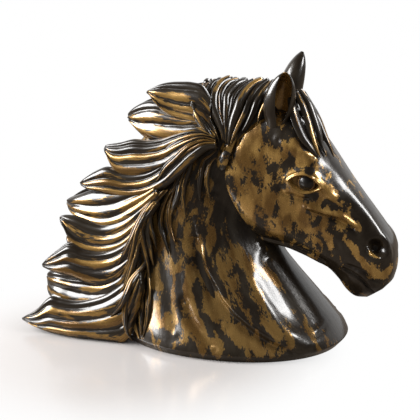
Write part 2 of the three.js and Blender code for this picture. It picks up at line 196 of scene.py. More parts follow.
@dataclass(frozen=True)
class Crease:
    """A line on a surface: a ridge where its height is above 0, a groove where it is below."""

    height: float
    width: float
    line: Line
    fade: float = 12.0

    def on(self, points: Array) -> Array:
        """height * exp(-(distance / width)^2), fading out over the line's ends."""
        gap, near_end = to_line(points, np.array(self.line, float))
        return self.height * bell(gap, self.width) * ease(0.0, self.fade, near_end + 0.35 * self.fade)


@dataclass(frozen=True)
class Terrace:
    """One sheet of muscle over another: a step up on the left of a line that dies away on both sides.

    The height is height * exp(-(d / high)) on the left and -0.8 * height * exp(-((d + low / 3) / low)^2) on the
    right, joined by a smooth step as wide as twice the edge.
    """

    height: float
    high: float
    low: float
    line: Line
    edge: float = 1.7
    fade: float = 20.0

    def on(self, points: Array) -> Array:
        """The height that the class describes, fading out over the line's ends.

        Args:
            points: (n, 2) points.

        Returns:
            The step's height at each of them.
        """
        gap, near_end = to_line(points, np.array(self.line, float))
        over = np.exp(-np.maximum(gap, 0.0) / self.high)
        under = -0.8 * bell(gap + self.low / 3, self.low)
        share = ease(-self.edge, self.edge, gap)
        rise = (share * over + (1 - share) * under) * ease(0.0, self.fade, near_end + 0.25 * self.fade)
        return self.height * rise


def drawn(lines: tuple[Crease | Terrace, ...], a: Array, b: Array) -> Array:
    """The sum of the lines' heights at the places (a, b), in the shape of a."""
    flat = np.stack([a, b], -1).reshape(-1, 2)
    return sum(line.on(flat) for line in lines).reshape(a.shape)


# ---------------------------------------------------------------- skins and meshes


@dataclass
class Skin:
    """A closed surface in millimetres, with what its finish follows at every vertex.

    flow is the place in the patina's pattern, in millimetres already stretched along the grain. tone leans the
    finish to the gold (above 0) or to the dark (below 0).
    """

    points: Array
    quads: Array
    fans: Array
    flow: Array
    tone: Array

    def volume(self) -> float:
        """The volume inside, a sixth of the sum of a . (b x c) over the triangles.

        Returns:
            Cubic millimetres, below 0 where the faces point in.
        """
        corners = np.concatenate([self.quads[:, [0, 1, 2]], self.quads[:, [0, 2, 3]], self.fans])
        a, b, c = (self.points[corners[:, k]] for k in range(3))
        return float((a * np.cross(b, c)).sum() / 6)


def ring_quads(n: int, m: int) -> Array:
    """Quads between n rings of m points each, every ring closed round.

    Args:
        n: how many rings.
        m: how many points each has.

    Returns:
        The numbers of each quad's corners.
    """
    i, j = np.meshgrid(np.arange(n - 1), np.arange(m), indexing="ij")
    k = (j + 1) % m
    return np.stack([i * m + j, i * m + k, (i + 1) * m + k, (i + 1) * m + j], -1).reshape(-1, 4)


def closed_skin(rings: Array, first: Array, last: Array, flow: Array, tone: Array) -> Skin:
    """A closed tube: rings of points joined by quads, with a pole at each end joined by triangles.

    Args:
        rings: (n, m, 3) points, where each ring runs the same way round.
        first: the pole before ring 0.
        last: the pole after the last ring.
        flow: (n, m, 3) places in the pattern.
        tone: (n, m) leanings of the finish.

    Returns:
        The skin, whose poles take the mean flow and tone of their rings.
    """
    n, m = rings.shape[:2]
    j = np.arange(m)
    k = (j + 1) % m
    top = (n - 1) * m
    fans = [
        np.stack([k, j, np.full(m, n * m)], -1),
        np.stack([top + j, top + k, np.full(m, n * m + 1)], -1),
    ]
    return Skin(
        np.concatenate([rings.reshape(-1, 3), [first, last]]),
        ring_quads(n, m),
        np.concatenate(fans),
        np.concatenate([flow.reshape(-1, 3), [flow[0].mean(0), flow[-1].mean(0)]]),
        np.concatenate([tone.ravel(), [tone[0].mean(), tone[-1].mean()]]),
    )


def sheet_skin(rings: Array, flow: Array, tone: Array) -> Skin:
    """A closed sheet: each ring runs out along one face and back along the other, and strips close both ends.

    Args:
        rings: (n, m, 3) points, m even.
        flow: (n, m, 3) places in the pattern.
        tone: (n, m) leanings of the finish.

    Returns:
        The skin.
    """
    n, m = rings.shape[:2]
    j = np.arange(m // 2 - 1)
    end = (n - 1) * m
    near = np.stack([j + 1, j, m - 1 - j, m - 2 - j], -1)
    far = np.stack([end + j, end + j + 1, end + m - 2 - j, end + m - 1 - j], -1)
    quads = np.concatenate([ring_quads(n, m), near, far])
    return Skin(rings.reshape(-1, 3), quads, np.zeros((0, 3), int), flow.reshape(-1, 3), tone.ravel())


def make_piece(name: str, skins: list[Skin], material: bpy.types.Material) -> bpy.types.Object:
    """Makes one mesh object, in metres, from closed skins in millimetres, with its flow and tone attributes.

    Args:
        name: the object's name.
        skins: the closed surfaces it holds.
        material: its finish.

    Returns:
        The object, at the origin, with its faces smooth and pointing out.
    """
    vertices, corners, sizes, base = [], [], [], 0
    for skin in skins:
        quads, fans = skin.quads, skin.fans
        if skin.volume() < 0:
            quads, fans = quads[:, ::-1], fans[:, ::-1]
        vertices.append(skin.points * MM)
        corners += [(quads + base).ravel(), (fans + base).ravel()]
        sizes += [np.full(len(quads), 4), np.full(len(fans), 3)]
        base += len(skin.points)
    points, loops, counts = (np.concatenate(x) for x in (vertices, corners, sizes))
    mesh = bpy.data.meshes.new(name)
    mesh.vertices.add(len(points))
    mesh.vertices.foreach_set("co", points.astype(np.float32).ravel())
    mesh.loops.add(len(loops))
    mesh.loops.foreach_set("vertex_index", loops.astype(np.int32))
    mesh.polygons.add(len(counts))
    starts = np.concatenate([[0], np.cumsum(counts)[:-1]])
    mesh.polygons.foreach_set("loop_start", starts.astype(np.int32))
    mesh.polygons.foreach_set("use_smooth", np.full(len(counts), True))
    mesh.update(calc_edges=True)
    flow = mesh.attributes.new("flow", "FLOAT_VECTOR", "POINT")
    flow.data.foreach_set("vector", np.concatenate([s.flow for s in skins]).astype(np.float32).ravel())
    tone = mesh.attributes.new("tone", "FLOAT", "POINT")
    tone.data.foreach_set("value", np.concatenate([s.tone for s in skins]).astype(np.float32))
    mesh.validate()
    mesh.materials.append(material)
    made = bpy.data.objects.new(name, mesh)
    bpy.context.scene.collection.objects.link(made)
    return made


# ---------------------------------------------------------------- the neck

# lines of the flank's muscles, (x, z)
FOLD: Line = (
    (10, 104), (14, 92), (19, 81), (29, 69), (40, 54), (52, 43), (65, 34), (77, 27), (93, 19), (110, 11),
)
RIDGE: Line = (
    (45, 100), (52, 92), (59, 81), (63, 70), (71, 59), (78, 50), (89, 37), (98, 29), (110, 20), (118, 12),
)
BAND: Line = ((-12, 142), (-7, 131), (-1, 112), (2, 91), (2, 72), (7, 56), (14, 42), (24, 28), (36, 12))
POCKET: Line = ((2, 48), (11, 35), (22, 26), (32, 17), (36, 12))


@dataclass
class Neck:
    """The hollow neck and chest casting, an upright loft of egg-shaped sections that lean into the head."""

    # each section's back (x, z), front (x, z) and half width
    back: Array = table(
        (-80, 0), (-85, 7), (-84, 45), (-77, 92), (-66, 142), (-46, 190), (-16, 228), (18, 247),
    )
    front: Array = table(
        (140, 0), (146.5, 8), (120, 44), (84.5, 86), (65.5, 118), (64, 148), (70, 180), (74, 214),
    )
    half_width: Array = table(87, 91, 72, 54, 43, 35, 30, 23)
    base_station: float = 0.16
    wall: float = 5.0
    # half sizes of the ring that the patina's pattern follows round the neck, and its stretch upwards
    pattern: Point = (104.0, 78.0, 0.50)
    rings: int = 210
    around: int = 380
    relief_lines: tuple[Crease | Terrace, ...] = (
        Crease(1.2, 6.5, BAND),
        Crease(-2.2, 6.5, ((5, 107), (10, 85), (21, 66), (30, 48), (44, 32))),
        Crease(-3.8, 5.2, POCKET, 8.0),
        Terrace(4.4, 15.0, 9.0, FOLD),
        Crease(3.0, 5.6, RIDGE[2:], 26.0),
        Crease(-2.8, 6.0, ((74, 90), (85, 77), (97, 62), (108, 48), (118, 35), (127, 24))),
        Crease(0.8, 5.0, ((84, 86), (94, 73), (106, 58), (118, 43), (128, 30))),
        Crease(-1.0, 6.5, ((22, 150), (34, 133), (41, 122), (48, 111), (58, 102), (66, 99))),
        Crease(-1.5, 7.0, ((-30, 104), (-24, 76), (-14, 46), (-4, 20))),
    )
    tone_lines: tuple[Crease, ...] = (
        Crease(0.10, 5.0, RIDGE),
        Crease(0.10, 4.0, BAND),
        Crease(0.15, 6.0, POCKET),
        Crease(0.16, 7.0, ((34, 50), (47, 35), (62, 22), (77, 14), (95, 11))),
        # painted shade: dark along the groove before the throat
        Crease(-0.28, 5.0, ((76, 90), (87, 77), (99, 62), (110, 48), (120, 35))),
        # painted shadow: dark under the jaw
        Crease(-0.25, 5.0, ((24, 148), (36, 133), (43, 122), (50, 111), (60, 102), (70, 96))),
    )

    def grid(self, at: Array, angle: Array, grow: float = 0.0) -> Array:
        """Points of the plain loft: centre + cos(b) * half length forward + sin(b) * half width sideways.

        Args:
            at: stations up the neck, from 0 to the number of sections less 1.
            angle: angles b round it, 0 at the front.
            grow: how far outside the skin the points lie.

        Returns:
            (stations, angles, 3) points.
        """
        station = np.arange(len(self.back), dtype=float)
        station[1] = self.base_station
        back, front = spline(station, self.back, at), spline(station, self.front, at)
        wide = spline(station, self.half_width, at) + grow
        c, s = np.cos(angle), np.sin(angle)
        middle, reach = (front + back) / 2, (front - back) / 2
        # powers below 1 make the egg slightly squarer
        fore = np.sign(c) * np.abs(c) ** 0.92
        side = np.sign(s) * np.abs(s) ** 0.95
        x = middle[:, None, 0] + (reach[:, None, 0] + grow) * fore
        z = middle[:, None, 1] + reach[:, None, 1] * fore
        y = wide[:, None] * side[None]
        return np.stack([x, y, z], -1)

    def relief(self, grid: Array, normal: Array) -> Array:
        """Height of the muscles and folds, from lines seen square from the side.

        Args:
            grid: points of the loft.
            normal: its unit normals.

        Returns:
            The heights, none where the skin faces forward or back, or close to the base.
        """
        x, z = grid[..., 0], grid[..., 2]
        return drawn(self.relief_lines, x, z) * ease(0.05, 0.45, np.abs(normal[..., 1])) * ease(3.0, 16.0, z)

    def tone(self, grid: Array) -> Array:
        """The finish's leaning: gold towards the mane and on the raised edges, dark at the throat and the base,
        with painted shade along the groove before the throat and a painted shadow under the jaw.

        Args:
            grid: points of the skin.

        Returns:
            The leaning at each.
        """
        x, z = grid[..., 0], grid[..., 2]
        lean = 0.03 * bell(x + 30, 40) * bell(z - 70, 70) - 0.035
        throat = ease(0.0, 1.0, (x * 0.62 + z * 0.5 - 91) / 9)
        return lean - 0.40 * throat - 0.10 * bell(z, 8) + drawn(self.tone_lines, x, z)

    def skin(self) -> Skin:
        """The neck's skin: up the outside, and back down inside a wall, so that it is open underneath.

        Returns:
            One closed skin, inner wall and outer.
        """
        top = len(self.back) - 1.0
        at = np.concatenate([np.linspace(0.0, 0.5, 26)[:-1], np.linspace(0.5, top, self.rings - 25)])
        angle = full_turn(self.around)
        outer = self.grid(at, angle)
        normal = outward_normals(outer)
        outer = outer + normal * self.relief(outer, normal)[..., None]
        inner = self.grid(np.linspace(0.0, top - 0.4, 24), angle, -self.wall)
        run = np.stack([self.pattern[0] * np.cos(angle), self.pattern[1] * np.sin(angle), 0 * angle], -1)
        flow = np.repeat(run[None], len(at), 0)
        flow[..., 2] = self.pattern[2] * outer[..., 2]
        return closed_skin(
            np.concatenate([inner[::-1], outer]),
            inner[-1].mean(0),
            outer[-1].mean(0),
            np.concatenate([np.repeat(run[None], len(inner), 0), flow]),
            np.concatenate([np.full(inner.shape[:2], -1.0), self.tone(outer)]),
        )


# ---------------------------------------------------------------- the head

# lines of the face, as places along it and across it
JAW: Line = (
    (-2, -36), (6, -46), (22, -57), (38, -62), (55, -64), (70, -62), (83, -55), (96, -44), (108, -33),
    (124, -24), (142, -16),
)
CHEEK_BONE: Line = ((84, 7), (90, 11), (96, 15), (103, 19), (112, 27), (122, 30), (131, 32))
NOSE_RIDGE: Line = ((66, 31), (77, 32.5), (89, 31.5), (98, 33))
TEMPLE: Line = ((42, 6), (42, 18), (45, 28))
NOSTRIL_FOLD: Line = ((151, 29), (157, 28), (164, 32))


@dataclass
class Head:
    """The head casting. Its own frame has s along the face to the muzzle and t out of the forehead."""

    origin: tuple[float, float] = (55.0, 208.0)
    along: tuple[float, float] = (0.62, -0.785)
    stations: int = 300
    around: int = 300
    # s, t of the top line, t of the jaw line, then half widths from the brow down to the jaw's edge
    sections: Array = table(
        (-11, 30, -22, 9, 17, 22, 24, 23, 19, 10),
        (-6, 38, -40, 12, 22, 27, 29, 28, 25, 15),
        (6, 46, -54, 16, 28, 32, 33, 33, 30, 18),
        (22, 50, -65, 18, 32, 35, 35, 35, 33, 20),
        (42, 51.5, -70, 19, 35, 37, 35, 35, 33, 20),
        (62, 51, -71, 19, 37, 38, 34, 34, 31, 19),
        (84, 50, -64, 17, 31, 33, 31, 31, 28, 18),
        (105, 49.5, -46, 15, 24, 27, 28, 27, 24, 17),
        (125, 49.5, -33, 14, 21, 23.5, 25, 24, 21, 15),
        (145, 49, -22.5, 14, 20, 23, 24, 23, 20, 14),
        (160, 47.5, -20, 14, 21, 25.5, 25, 23, 19, 13),
        (174, 41, -20, 13, 20, 25, 25, 23, 18, 12),
        (185, 32, -17, 12, 18, 22.5, 23, 21, 16, 10),
        (192, 23, -9, 9, 14, 17, 17, 15, 11, 7),
    )
    levels: Array = table(0.0, 0.03, 0.14, 0.30, 0.46, 0.64, 0.82, 0.96, 1.0)
    # eye: middle of the opening (s, t), way its long axis runs, half length, heights above and below it
    eye: tuple[float, float] = (65.5, 19.5)
    eye_axis: tuple[float, float] = (0.72, 0.69)
    eye_half: Point = (14.6, 8.6, 8.0)
    nostril: tuple[float, float] = (156.0, 35.0)
    relief_lines: tuple[Crease, ...] = (
        # the hollows under and behind the eye
        Crease(-1.5, 2.2, ((56, -4), (63, -4), (69, 1), (75, 5), (81, 13)), 6.0),
        Crease(-1.6, 8.0, TEMPLE, 10.0),
        # bone ridges of the face, and the hollows by them
        Crease(2.2, 4.0, ((17, 24), (26, 27), (35, 32), (42, 36), (50, 39)), 10.0),
        Crease(2.6, 3.8, NOSE_RIDGE, 10.0),
        Crease(2.8, 3.0, CHEEK_BONE, 10.0),
        Crease(-2.4, 2.4, ((105, 17), (115, 22), (124, 26), (131, 29)), 6.0),
        Crease(-1.0, 5.0, ((72, 22), (90, 22), (108, 33), (128, 36)), 10.0),
        Crease(-1.2, 9.0, ((74, -4), (92, -12), (110, -10), (132, 0)), 10.0),
        # the jaw's edge: a raised rim with a fine groove inside it
        Crease(-1.6, 1.7, JAW, 10.0),
        Crease(1.3, 2.6, tuple((a - 1, b - 4) for a, b in JAW), 10.0),
        # the fold in the nostril
        Crease(2.4, 1.3, NOSTRIL_FOLD, 3.0),
    )
    # the slit of the mouth and the folds of the lips
    mouth_lines: tuple[Crease, ...] = (
        Crease(-2.5, 1.3, ((155, -5), (162, -1), (169, 3), (176, 5), (192, 5)), 6.0),
        Crease(0.9, 3.0, ((162, 5), (170, 8), (180, 10.5), (191, 11)), 10.0),
        Crease(-1.3, 1.6, ((153, 0), (160, 6), (167, 12), (178, 15), (188, 17)), 10.0),
    )
    tone_lines: tuple[Crease, ...] = (
        Crease(-0.26, 9.0, ((140, -10), (155, -10), (168, -5), (180, -1), (190, 4))),
        Crease(0.42, 3.6, ((132, 16), (143, 17), (154, 16), (165, 17), (176, 20), (182, 25), (179, 34))),
        Crease(0.30, 2.8, CHEEK_BONE),
        Crease(0.32, 3.4, NOSE_RIDGE),
        Crease(-0.18, 5.0, ((22, -61), (38, -67), (55, -69), (70, -67), (83, -60), (96, -48), (120, -30))),
        Crease(-0.14, 8.0, TEMPLE),
        Crease(0.22, 3.0, ((17, 24), (26, 27), (35, 32), (42, 37), (49, 40), (59, 41))),
        Crease(0.75, 1.8, NOSTRIL_FOLD),
    )

    def local_grid(self, stations: Array, corners: Array) -> Array:
        """A spline through the sections' corner points, both along and around.

        Args:
            stations: places s along the head.
            corners: places round it, counted in corner points from the top.

        Returns:
            (stations, corners, 3) points (s, y, t).
        """
        s, top, low = self.sections[:, 0], self.sections[:, 1], self.sections[:, 2]
        edge = np.zeros((len(s), 1))
        half = np.concatenate([edge, self.sections[:, 3:], edge], 1)
        depth = top[:, None] + (low - top)[:, None] * self.levels[None]
        # right half from the top down, then the left half back up: one closed ring of corners
        ring_y = np.concatenate([-half, half[:, -2:0:-1]], 1)
        ring_t = np.concatenate([depth, depth[:, -2:0:-1]], 1)
        count = ring_y.shape[1]
        wrap = np.arange(-3, count + 3)
        round_about = spline_matrix(wrap, corners)
        lengthwise = spline_matrix(s, stations)
        y, t = (lengthwise @ ring[:, wrap % count] @ round_about.T for ring in (ring_y, ring_t))
        return np.stack([np.repeat(stations[:, None], len(corners), 1), y, t], -1)

    def place(self, local: Array) -> Array:
        """From the head's (s, y, t) to the part's (x, y, z).

        Args:
            local: places in the head's frame, along the last axis.

        Returns:
            The same places in the part's frame.
        """
        (x0, z0), (dx, dz) = self.origin, self.along
        s, y, t = local[..., 0], local[..., 1], local[..., 2]
        return np.stack([x0 + s * dx - t * dz, y, z0 + s * dz + t * dx], -1)

    def eye_rings(self, s: Array, t: Array) -> tuple[Array, Array]:
        """Where a place lies about the eye's almond opening.

        The almond's edge is where |a|^1.7 + |b|^1.35 = 1, with a along the long axis over its half length and b
        across it over the height above or below.

        Args:
            s: places along the head.
            t: places across it.

        Returns:
            How far out of the opening each place is (1 on its edge), and how far above the long axis.
        """
        long_way = np.array(self.eye_axis) / np.hypot(*self.eye_axis)
        ds, dt = s - self.eye[0], t - self.eye[1]
        a = (ds * long_way[0] + dt * long_way[1]) / self.eye_half[0]
        across = -ds * long_way[1] + dt * long_way[0]
        b = across / np.where(across > 0, self.eye_half[1], self.eye_half[2])
        return (np.abs(a) ** 1.7 + np.abs(b) ** 1.35) ** 0.62, across

    def relief(self, s: Array, t: Array, side: Array) -> Array:
        """Height of the face's features over the plain loft, from their places along and across the head.

        Args:
            s: places along the head.
            t: places across it.
            side: 1 where the skin faces sideways and 0 on its top and bottom lines.

        Returns:
            The heights, in millimetres.
        """
        ring, above = self.eye_rings(s, t)
        # the eye: the hollow that it lies in, one fine lid with a groove over it, and its opening
        rise = -1.1 * bell(ring - 1.85, 0.5) * (0.6 + 0.4 * ease(-6, 6, above))
        rise += 1.7 * bell(ring - 1.11, 0.10) - 0.5 * bell(ring - 1.30, 0.07) * ease(-4, 4, above)
        rise -= 5.0 * ease(0.0, 0.12, 1.02 - ring)
        # the swell of the cheek
        rise += 1.6 * bell(np.hypot(s - 44, t + 26), 30.0)
        # nostril: a round hole turned to the front, in a raised rim
        u, v = s - self.nostril[0], t - self.nostril[1]
        away = np.hypot(u * 0.94 + v * 0.2, (v - 0.25 * u) * 1.05)
        rise += 1.5 * bell(away - 12.5, 4.2) * (0.6 + 0.4 * np.clip((u + v) / 14, -1, 1))
        rise -= 9.0 * ease(11.0, 2.5, away)
        chin = bell(np.hypot(s - 170, t + 8), 7.0)
        return (rise + drawn(self.relief_lines, s, t)) * side + drawn(self.mouth_lines, s, t) + chin

    def tone(self, s: Array, t: Array) -> Array:
        """The finish's leaning: gold on the cheek and the bones, dark on the nose, the lips and the jaw's edge,
        with painted shade in the nostril's hole.

        Args:
            s: places along the head.
            t: places across it.

        Returns:
            The leaning at each.
        """
        ring, _ = self.eye_rings(s, t)
        lean = 0.045 * bell(np.hypot(s - 66, t + 24), 40) + 0.10 * bell(np.hypot(s + 2, t - 4), 16)
        lean += 0.28 * ease(1.24, 1.10, ring) - 0.05 * bell(ring - 1.6, 0.3)
        lean -= 0.13 * ease(36, 43, t) + 0.15 * ease(120, 150, s + 0.5 * t) * ease(-6, 6, t)
        lean -= 0.12 * bell(np.hypot(s - 3, t - 26), 8)
        # painted shade: dark inside the nostril's hole
        lean -= 0.5 * bell(np.hypot(s - self.nostril[0], t - self.nostril[1]), 10)
        return lean + drawn(self.tone_lines, s, t)

    def skin(self) -> Skin:
        """The head's skin, closed by a pole behind the jowl and one at the muzzle.

        Returns:
            One closed skin.
        """
        first_s, last_s = self.sections[0, 0], self.sections[-1, 0]
        # closer along the head at the eye and the nostril, and closer round it at the eyes and the cheeks
        stations = spaced(first_s, last_s, self.stations, ((66, 16, 1.3), (166, 24, 0.9)), False)
        dense = ((3.1, 1.0, 1.3), (12.9, 1.0, 1.3), (6.2, 1.2, 0.4), (9.8, 1.2, 0.4))
        corners = spaced(0.0, 2.0 * (len(self.levels) - 1), self.around, dense, True)
        local = self.local_grid(stations, corners)
        grid = self.place(local)
        normal = outward_normals(grid)
        side = ease(0.15, 0.55, np.abs(normal[..., 1]))
        s, t = local[..., 0], local[..., 2]
        share = 0.35 + 0.65 * ease(194.0, 186.0, s)
        grid = grid + normal * (self.relief(s, t, side) * share)[..., None]
        first = self.place(local[0].mean(0) - [4.0, 0.0, 0.0])
        last = self.place(local[-1].mean(0) + [3.0, 0.0, 0.0])
        return closed_skin(grid, first, last, grid * [1.0, 1.0, 0.55], self.tone(s, t))


# ---------------------------------------------------------------- eyes


@dataclass
class Eye:
    """One eyeball: a ball with a flattened iris and a raised pupil, turned out to its side."""

    head: Head
    side: Side
    inset: float = 29.5
    # how far the ball's middle lies from the opening's, along the head and across it
    offset: tuple[float, float] = (-0.5, 2.0)
    look: tuple[float, float] = (0.10, -0.14)
    radius: float = 10.0
    iris: float = 0.84
    rings: int = 120
    around: int = 96

    def skin(self) -> Skin:
        """The ball, by angle off its axis: radius - 0.7 * a step inside the iris + 0.5 * one inside the pupil.

        Returns:
            One closed skin.
        """
        (s, t), (ds, dt) = self.head.eye, self.offset
        centre = self.head.place(np.array([s + ds, self.side.value * self.inset, t + dt]))
        polar = np.linspace(0.02, np.pi - 0.02, self.rings)
        turn = full_turn(self.around)
        radius = self.radius - 0.7 * ease(self.iris + 0.05, self.iris - 0.05, polar)
        radius = radius + 0.5 * ease(0.6, 0.1, polar)
        out = unit(np.array([self.look[0], self.side.value, self.look[1]]))
        east = unit(np.cross(out, [0.0, 0.0, 1.0]))
        north = np.cross(east, out)
        spread = (np.cos(turn)[:, None] * east + np.sin(turn)[:, None] * north)[None]
        ring = np.cos(polar)[:, None, None] * out + np.sin(polar)[:, None, None] * spread
        rings = centre + radius[:, None, None] * ring
        tone = np.repeat(np.where(polar < self.iris, -1.0, 0.9)[:, None], self.around, 1)
        return closed_skin(rings, centre + radius[0] * out, centre - radius[-1] * out, rings, tone)


# ---------------------------------------------------------------- hair


def fluted(q: Array, flutes: float, wander: Array) -> Array:
    """Rounded ridges across a lock, 0 in the valleys and 1 on the crests.

    Args:
        q: places across, from -1 to 1.
        flutes: how many ridges.
        wander: how far the ridges are pushed aside, for each place along.

    Returns:
        |sin(pi * flutes * (w + 1) / 2)|^0.75 with w = q + wander * cos(pi * q / 2), so that the ridges drift and
        differ in width.
    """
    w = q + wander * np.cos(np.pi * q / 2)
    return np.abs(np.sin(np.pi * flutes * (w + 1) / 2)) ** 0.75


def lens(across: int, flutes: float, wander: Array, share: float, back: float) -> tuple[Array, Array, Array]:
    """The section of a lock: a lens whose face carries rounded ridges.

    Args:
        across: how many places on each face.
        flutes: how many ridges.
        wander: how far the ridges are pushed aside.
        share: the ridges' share of the face's height.
        back: the back's height over the face's.

    Returns:
        The places q round the section, from 1 to -1 on the face and back again; the ridges there; and the lift,
        (1 - share) * sqrt(1 - q^2) + share * ridges * (1 - q^10) on the face and -back times that behind.
    """
    q = np.cos(np.linspace(0.0, np.pi, across + 1))[:-1]
    ridge = fluted(q, flutes, wander)
    rise = (1 - share) * np.sqrt(1 - q**2) + share * ridge * (1 - q**10)
    return np.concatenate([q, -q]), np.concatenate([ridge, ridge], -1), np.concatenate([rise, -back * rise], -1)


@dataclass(frozen=True)
class Lock:
    """One broad lock: a fluted lens-shaped section carried between its upper and lower edge to the tip."""

    upper: Route
    lower: Route
    thick: float
    flutes: float
    # how dark the upper edge is painted: painted shade where the lock faces away from the light
    upper_edge_shade: float = 0.5
    rings: int = 120
    across: int = 60
    grain: float = 0.16

    def skin(self, seed: float = 0.0) -> Skin:
        """The lock's closed surface, its grain running from root to tip.

        Args:
            seed: which of its kind it is, so that no two have the same ridges and patches.

        Returns:
            The skin.
        """
        high, low = np.array(self.upper, float), np.array(self.lower, float)
        chord = lengths_along((high + low) / 2)
        u = np.linspace(0.0, 1.0, self.rings)
        high, low = (spline(chord / chord[-1], edge, u) for edge in (high, low))
        middle, reach = (high + low) / 2, (high - low) / 2
        half = np.linalg.norm(reach, axis=1)
        face = unit(np.cross(reach, np.gradient(middle, u, axis=0)))
        if face[:, 1].sum() * middle[:, 1].sum() < 0:
            face = -face
        wander = 0.26 * np.sin(2.3 * seed + 3.4 * u)[:, None]
        across, ridge, lift = lens(self.across, 0.8 * self.flutes, wander, 0.38, 0.75)
        # thinner where the lock is narrow, and towards its tip
        deep = self.thick * np.minimum(1.0, (half / (0.8 * self.thick)) ** 0.7) * ease(1.04, 0.80, u) ** 0.35
        rings = middle[:, None] + reach[:, None] * across[None, :, None]
        rings = rings + face[:, None] * (deep[:, None] * lift)[..., None]
        flow = np.zeros(rings.shape)
        flow[..., 0] = np.maximum(half, 4.0)[:, None] * across[None] * 1.1
        flow[..., 1] = (chord[-1] * u * self.grain)[:, None] + 31.0 * seed
        flow[..., 2] = 3.0 * lift
        # gold on the flutes' ridges, and painted shade along the upper edge
        tone = 0.30 * (ridge - 0.62) - self.upper_edge_shade * ease(0.35, 0.85, across)[None]
        tone = tone - 0.2 * ease(0.92, 1.0, u)[:, None]
        return closed_skin(rings, middle[0], middle[-1], flow, tone)


@dataclass(frozen=True)
class Strand:
    """A thin tuft that narrows to a point at both ends, with ridges along its rounded face."""

    route: Route
    wide: float
    thick: float = 3.4
    flutes: float = 2.0
    out: Point = (0.0, -1.0, 0.0)
    out_tip: Point | None = None
    root: float = 0.45
    belly: float = 0.5
    lean: float = 0.0
    rings: int = 64
    across: int = 22
    grain: float = 0.14

    def skin(self, seed: float = 0.0) -> Skin:
        """The strand's closed surface: the same lens section as a lock's, about a single route.

        Args:
            seed: which of its kind it is, so that no two have the same ridges and patches.

        Returns:
            The skin.
        """
        points = np.array(self.route, float)
        chord = lengths_along(points)
        u = np.linspace(0.0, 1.0, self.rings + 2)
        spine = spline(chord / chord[-1], points, u)
        run = unit(np.gradient(spine, u, axis=0))
        tip = self.out_tip or self.out
        face = np.array(self.out) * (1 - u)[:, None] + np.array(tip) * u[:, None]
        face = unit(face - (face * run).sum(-1, keepdims=True) * run)
        over = np.cross(face, run)
        # width from the root, through the belly, to the point
        stops = np.array([0.0, 0.12, self.belly, 0.5 + 0.5 * self.belly, 0.95, 1.0])
        swell = spline(stops, np.array([self.root, self.root + 0.15, 1.0, 0.8, 0.25, 0.02]), u)
        across, ridge, lift = lens(self.across, self.flutes, np.array(0.1 * math.sin(seed)), 0.34, 0.8)
        rings = spine[:, None] + over[:, None] * ((self.wide * swell)[:, None] * across)[..., None]
        rings = rings + face[:, None] * (self.thick * swell**0.8)[:, None, None] * lift[None, :, None]
        flow = np.zeros(rings.shape)
        flow[..., 0] = self.wide * across[None] * 1.2
        flow[..., 1] = (chord[-1] * u * self.grain)[:, None] + 31.0 * seed
        flow[..., 2] = 3.0 * lift[None]
        tone = np.repeat(0.30 * (ridge - 0.6)[None] + self.lean, len(u), 0)
        return closed_skin(rings[1:-1], spine[0], spine[-1], flow[1:-1], tone[1:-1])


def flipped(route: Route, shift: Point = (0.0, 0.0, 0.0)) -> Route:
    """A route on the other flank.

    Args:
        route: the near flank's route.
        shift: how far its tip is moved; the places before it move by less, down to 0.45 of it at the root.

    Returns:
        The far flank's route.
    """
    points = np.array(route, float) * [1.0, -1.0, 1.0]
    share = np.linspace(0.45, 1.0, len(points))[:, None]
    return tuple(map(tuple, points + share * np.array(shift)))


def far_lock(lock: Lock, shift: Point = (0.0, 0.0, 0.0)) -> Lock:
    """The lock's twin on the left flank, with its tip moved by shift."""
    return replace(lock, upper=flipped(lock.upper, shift), lower=flipped(lock.lower, shift))


def far_strand(strand: Strand) -> Strand:
    """The strand's twin on the left flank."""
    out, out_tip = (None if v is None else (v[0], -v[1], v[2]) for v in (strand.out, strand.out_tip))
    return replace(strand, route=flipped(strand.route), out=out, out_tip=out_tip)


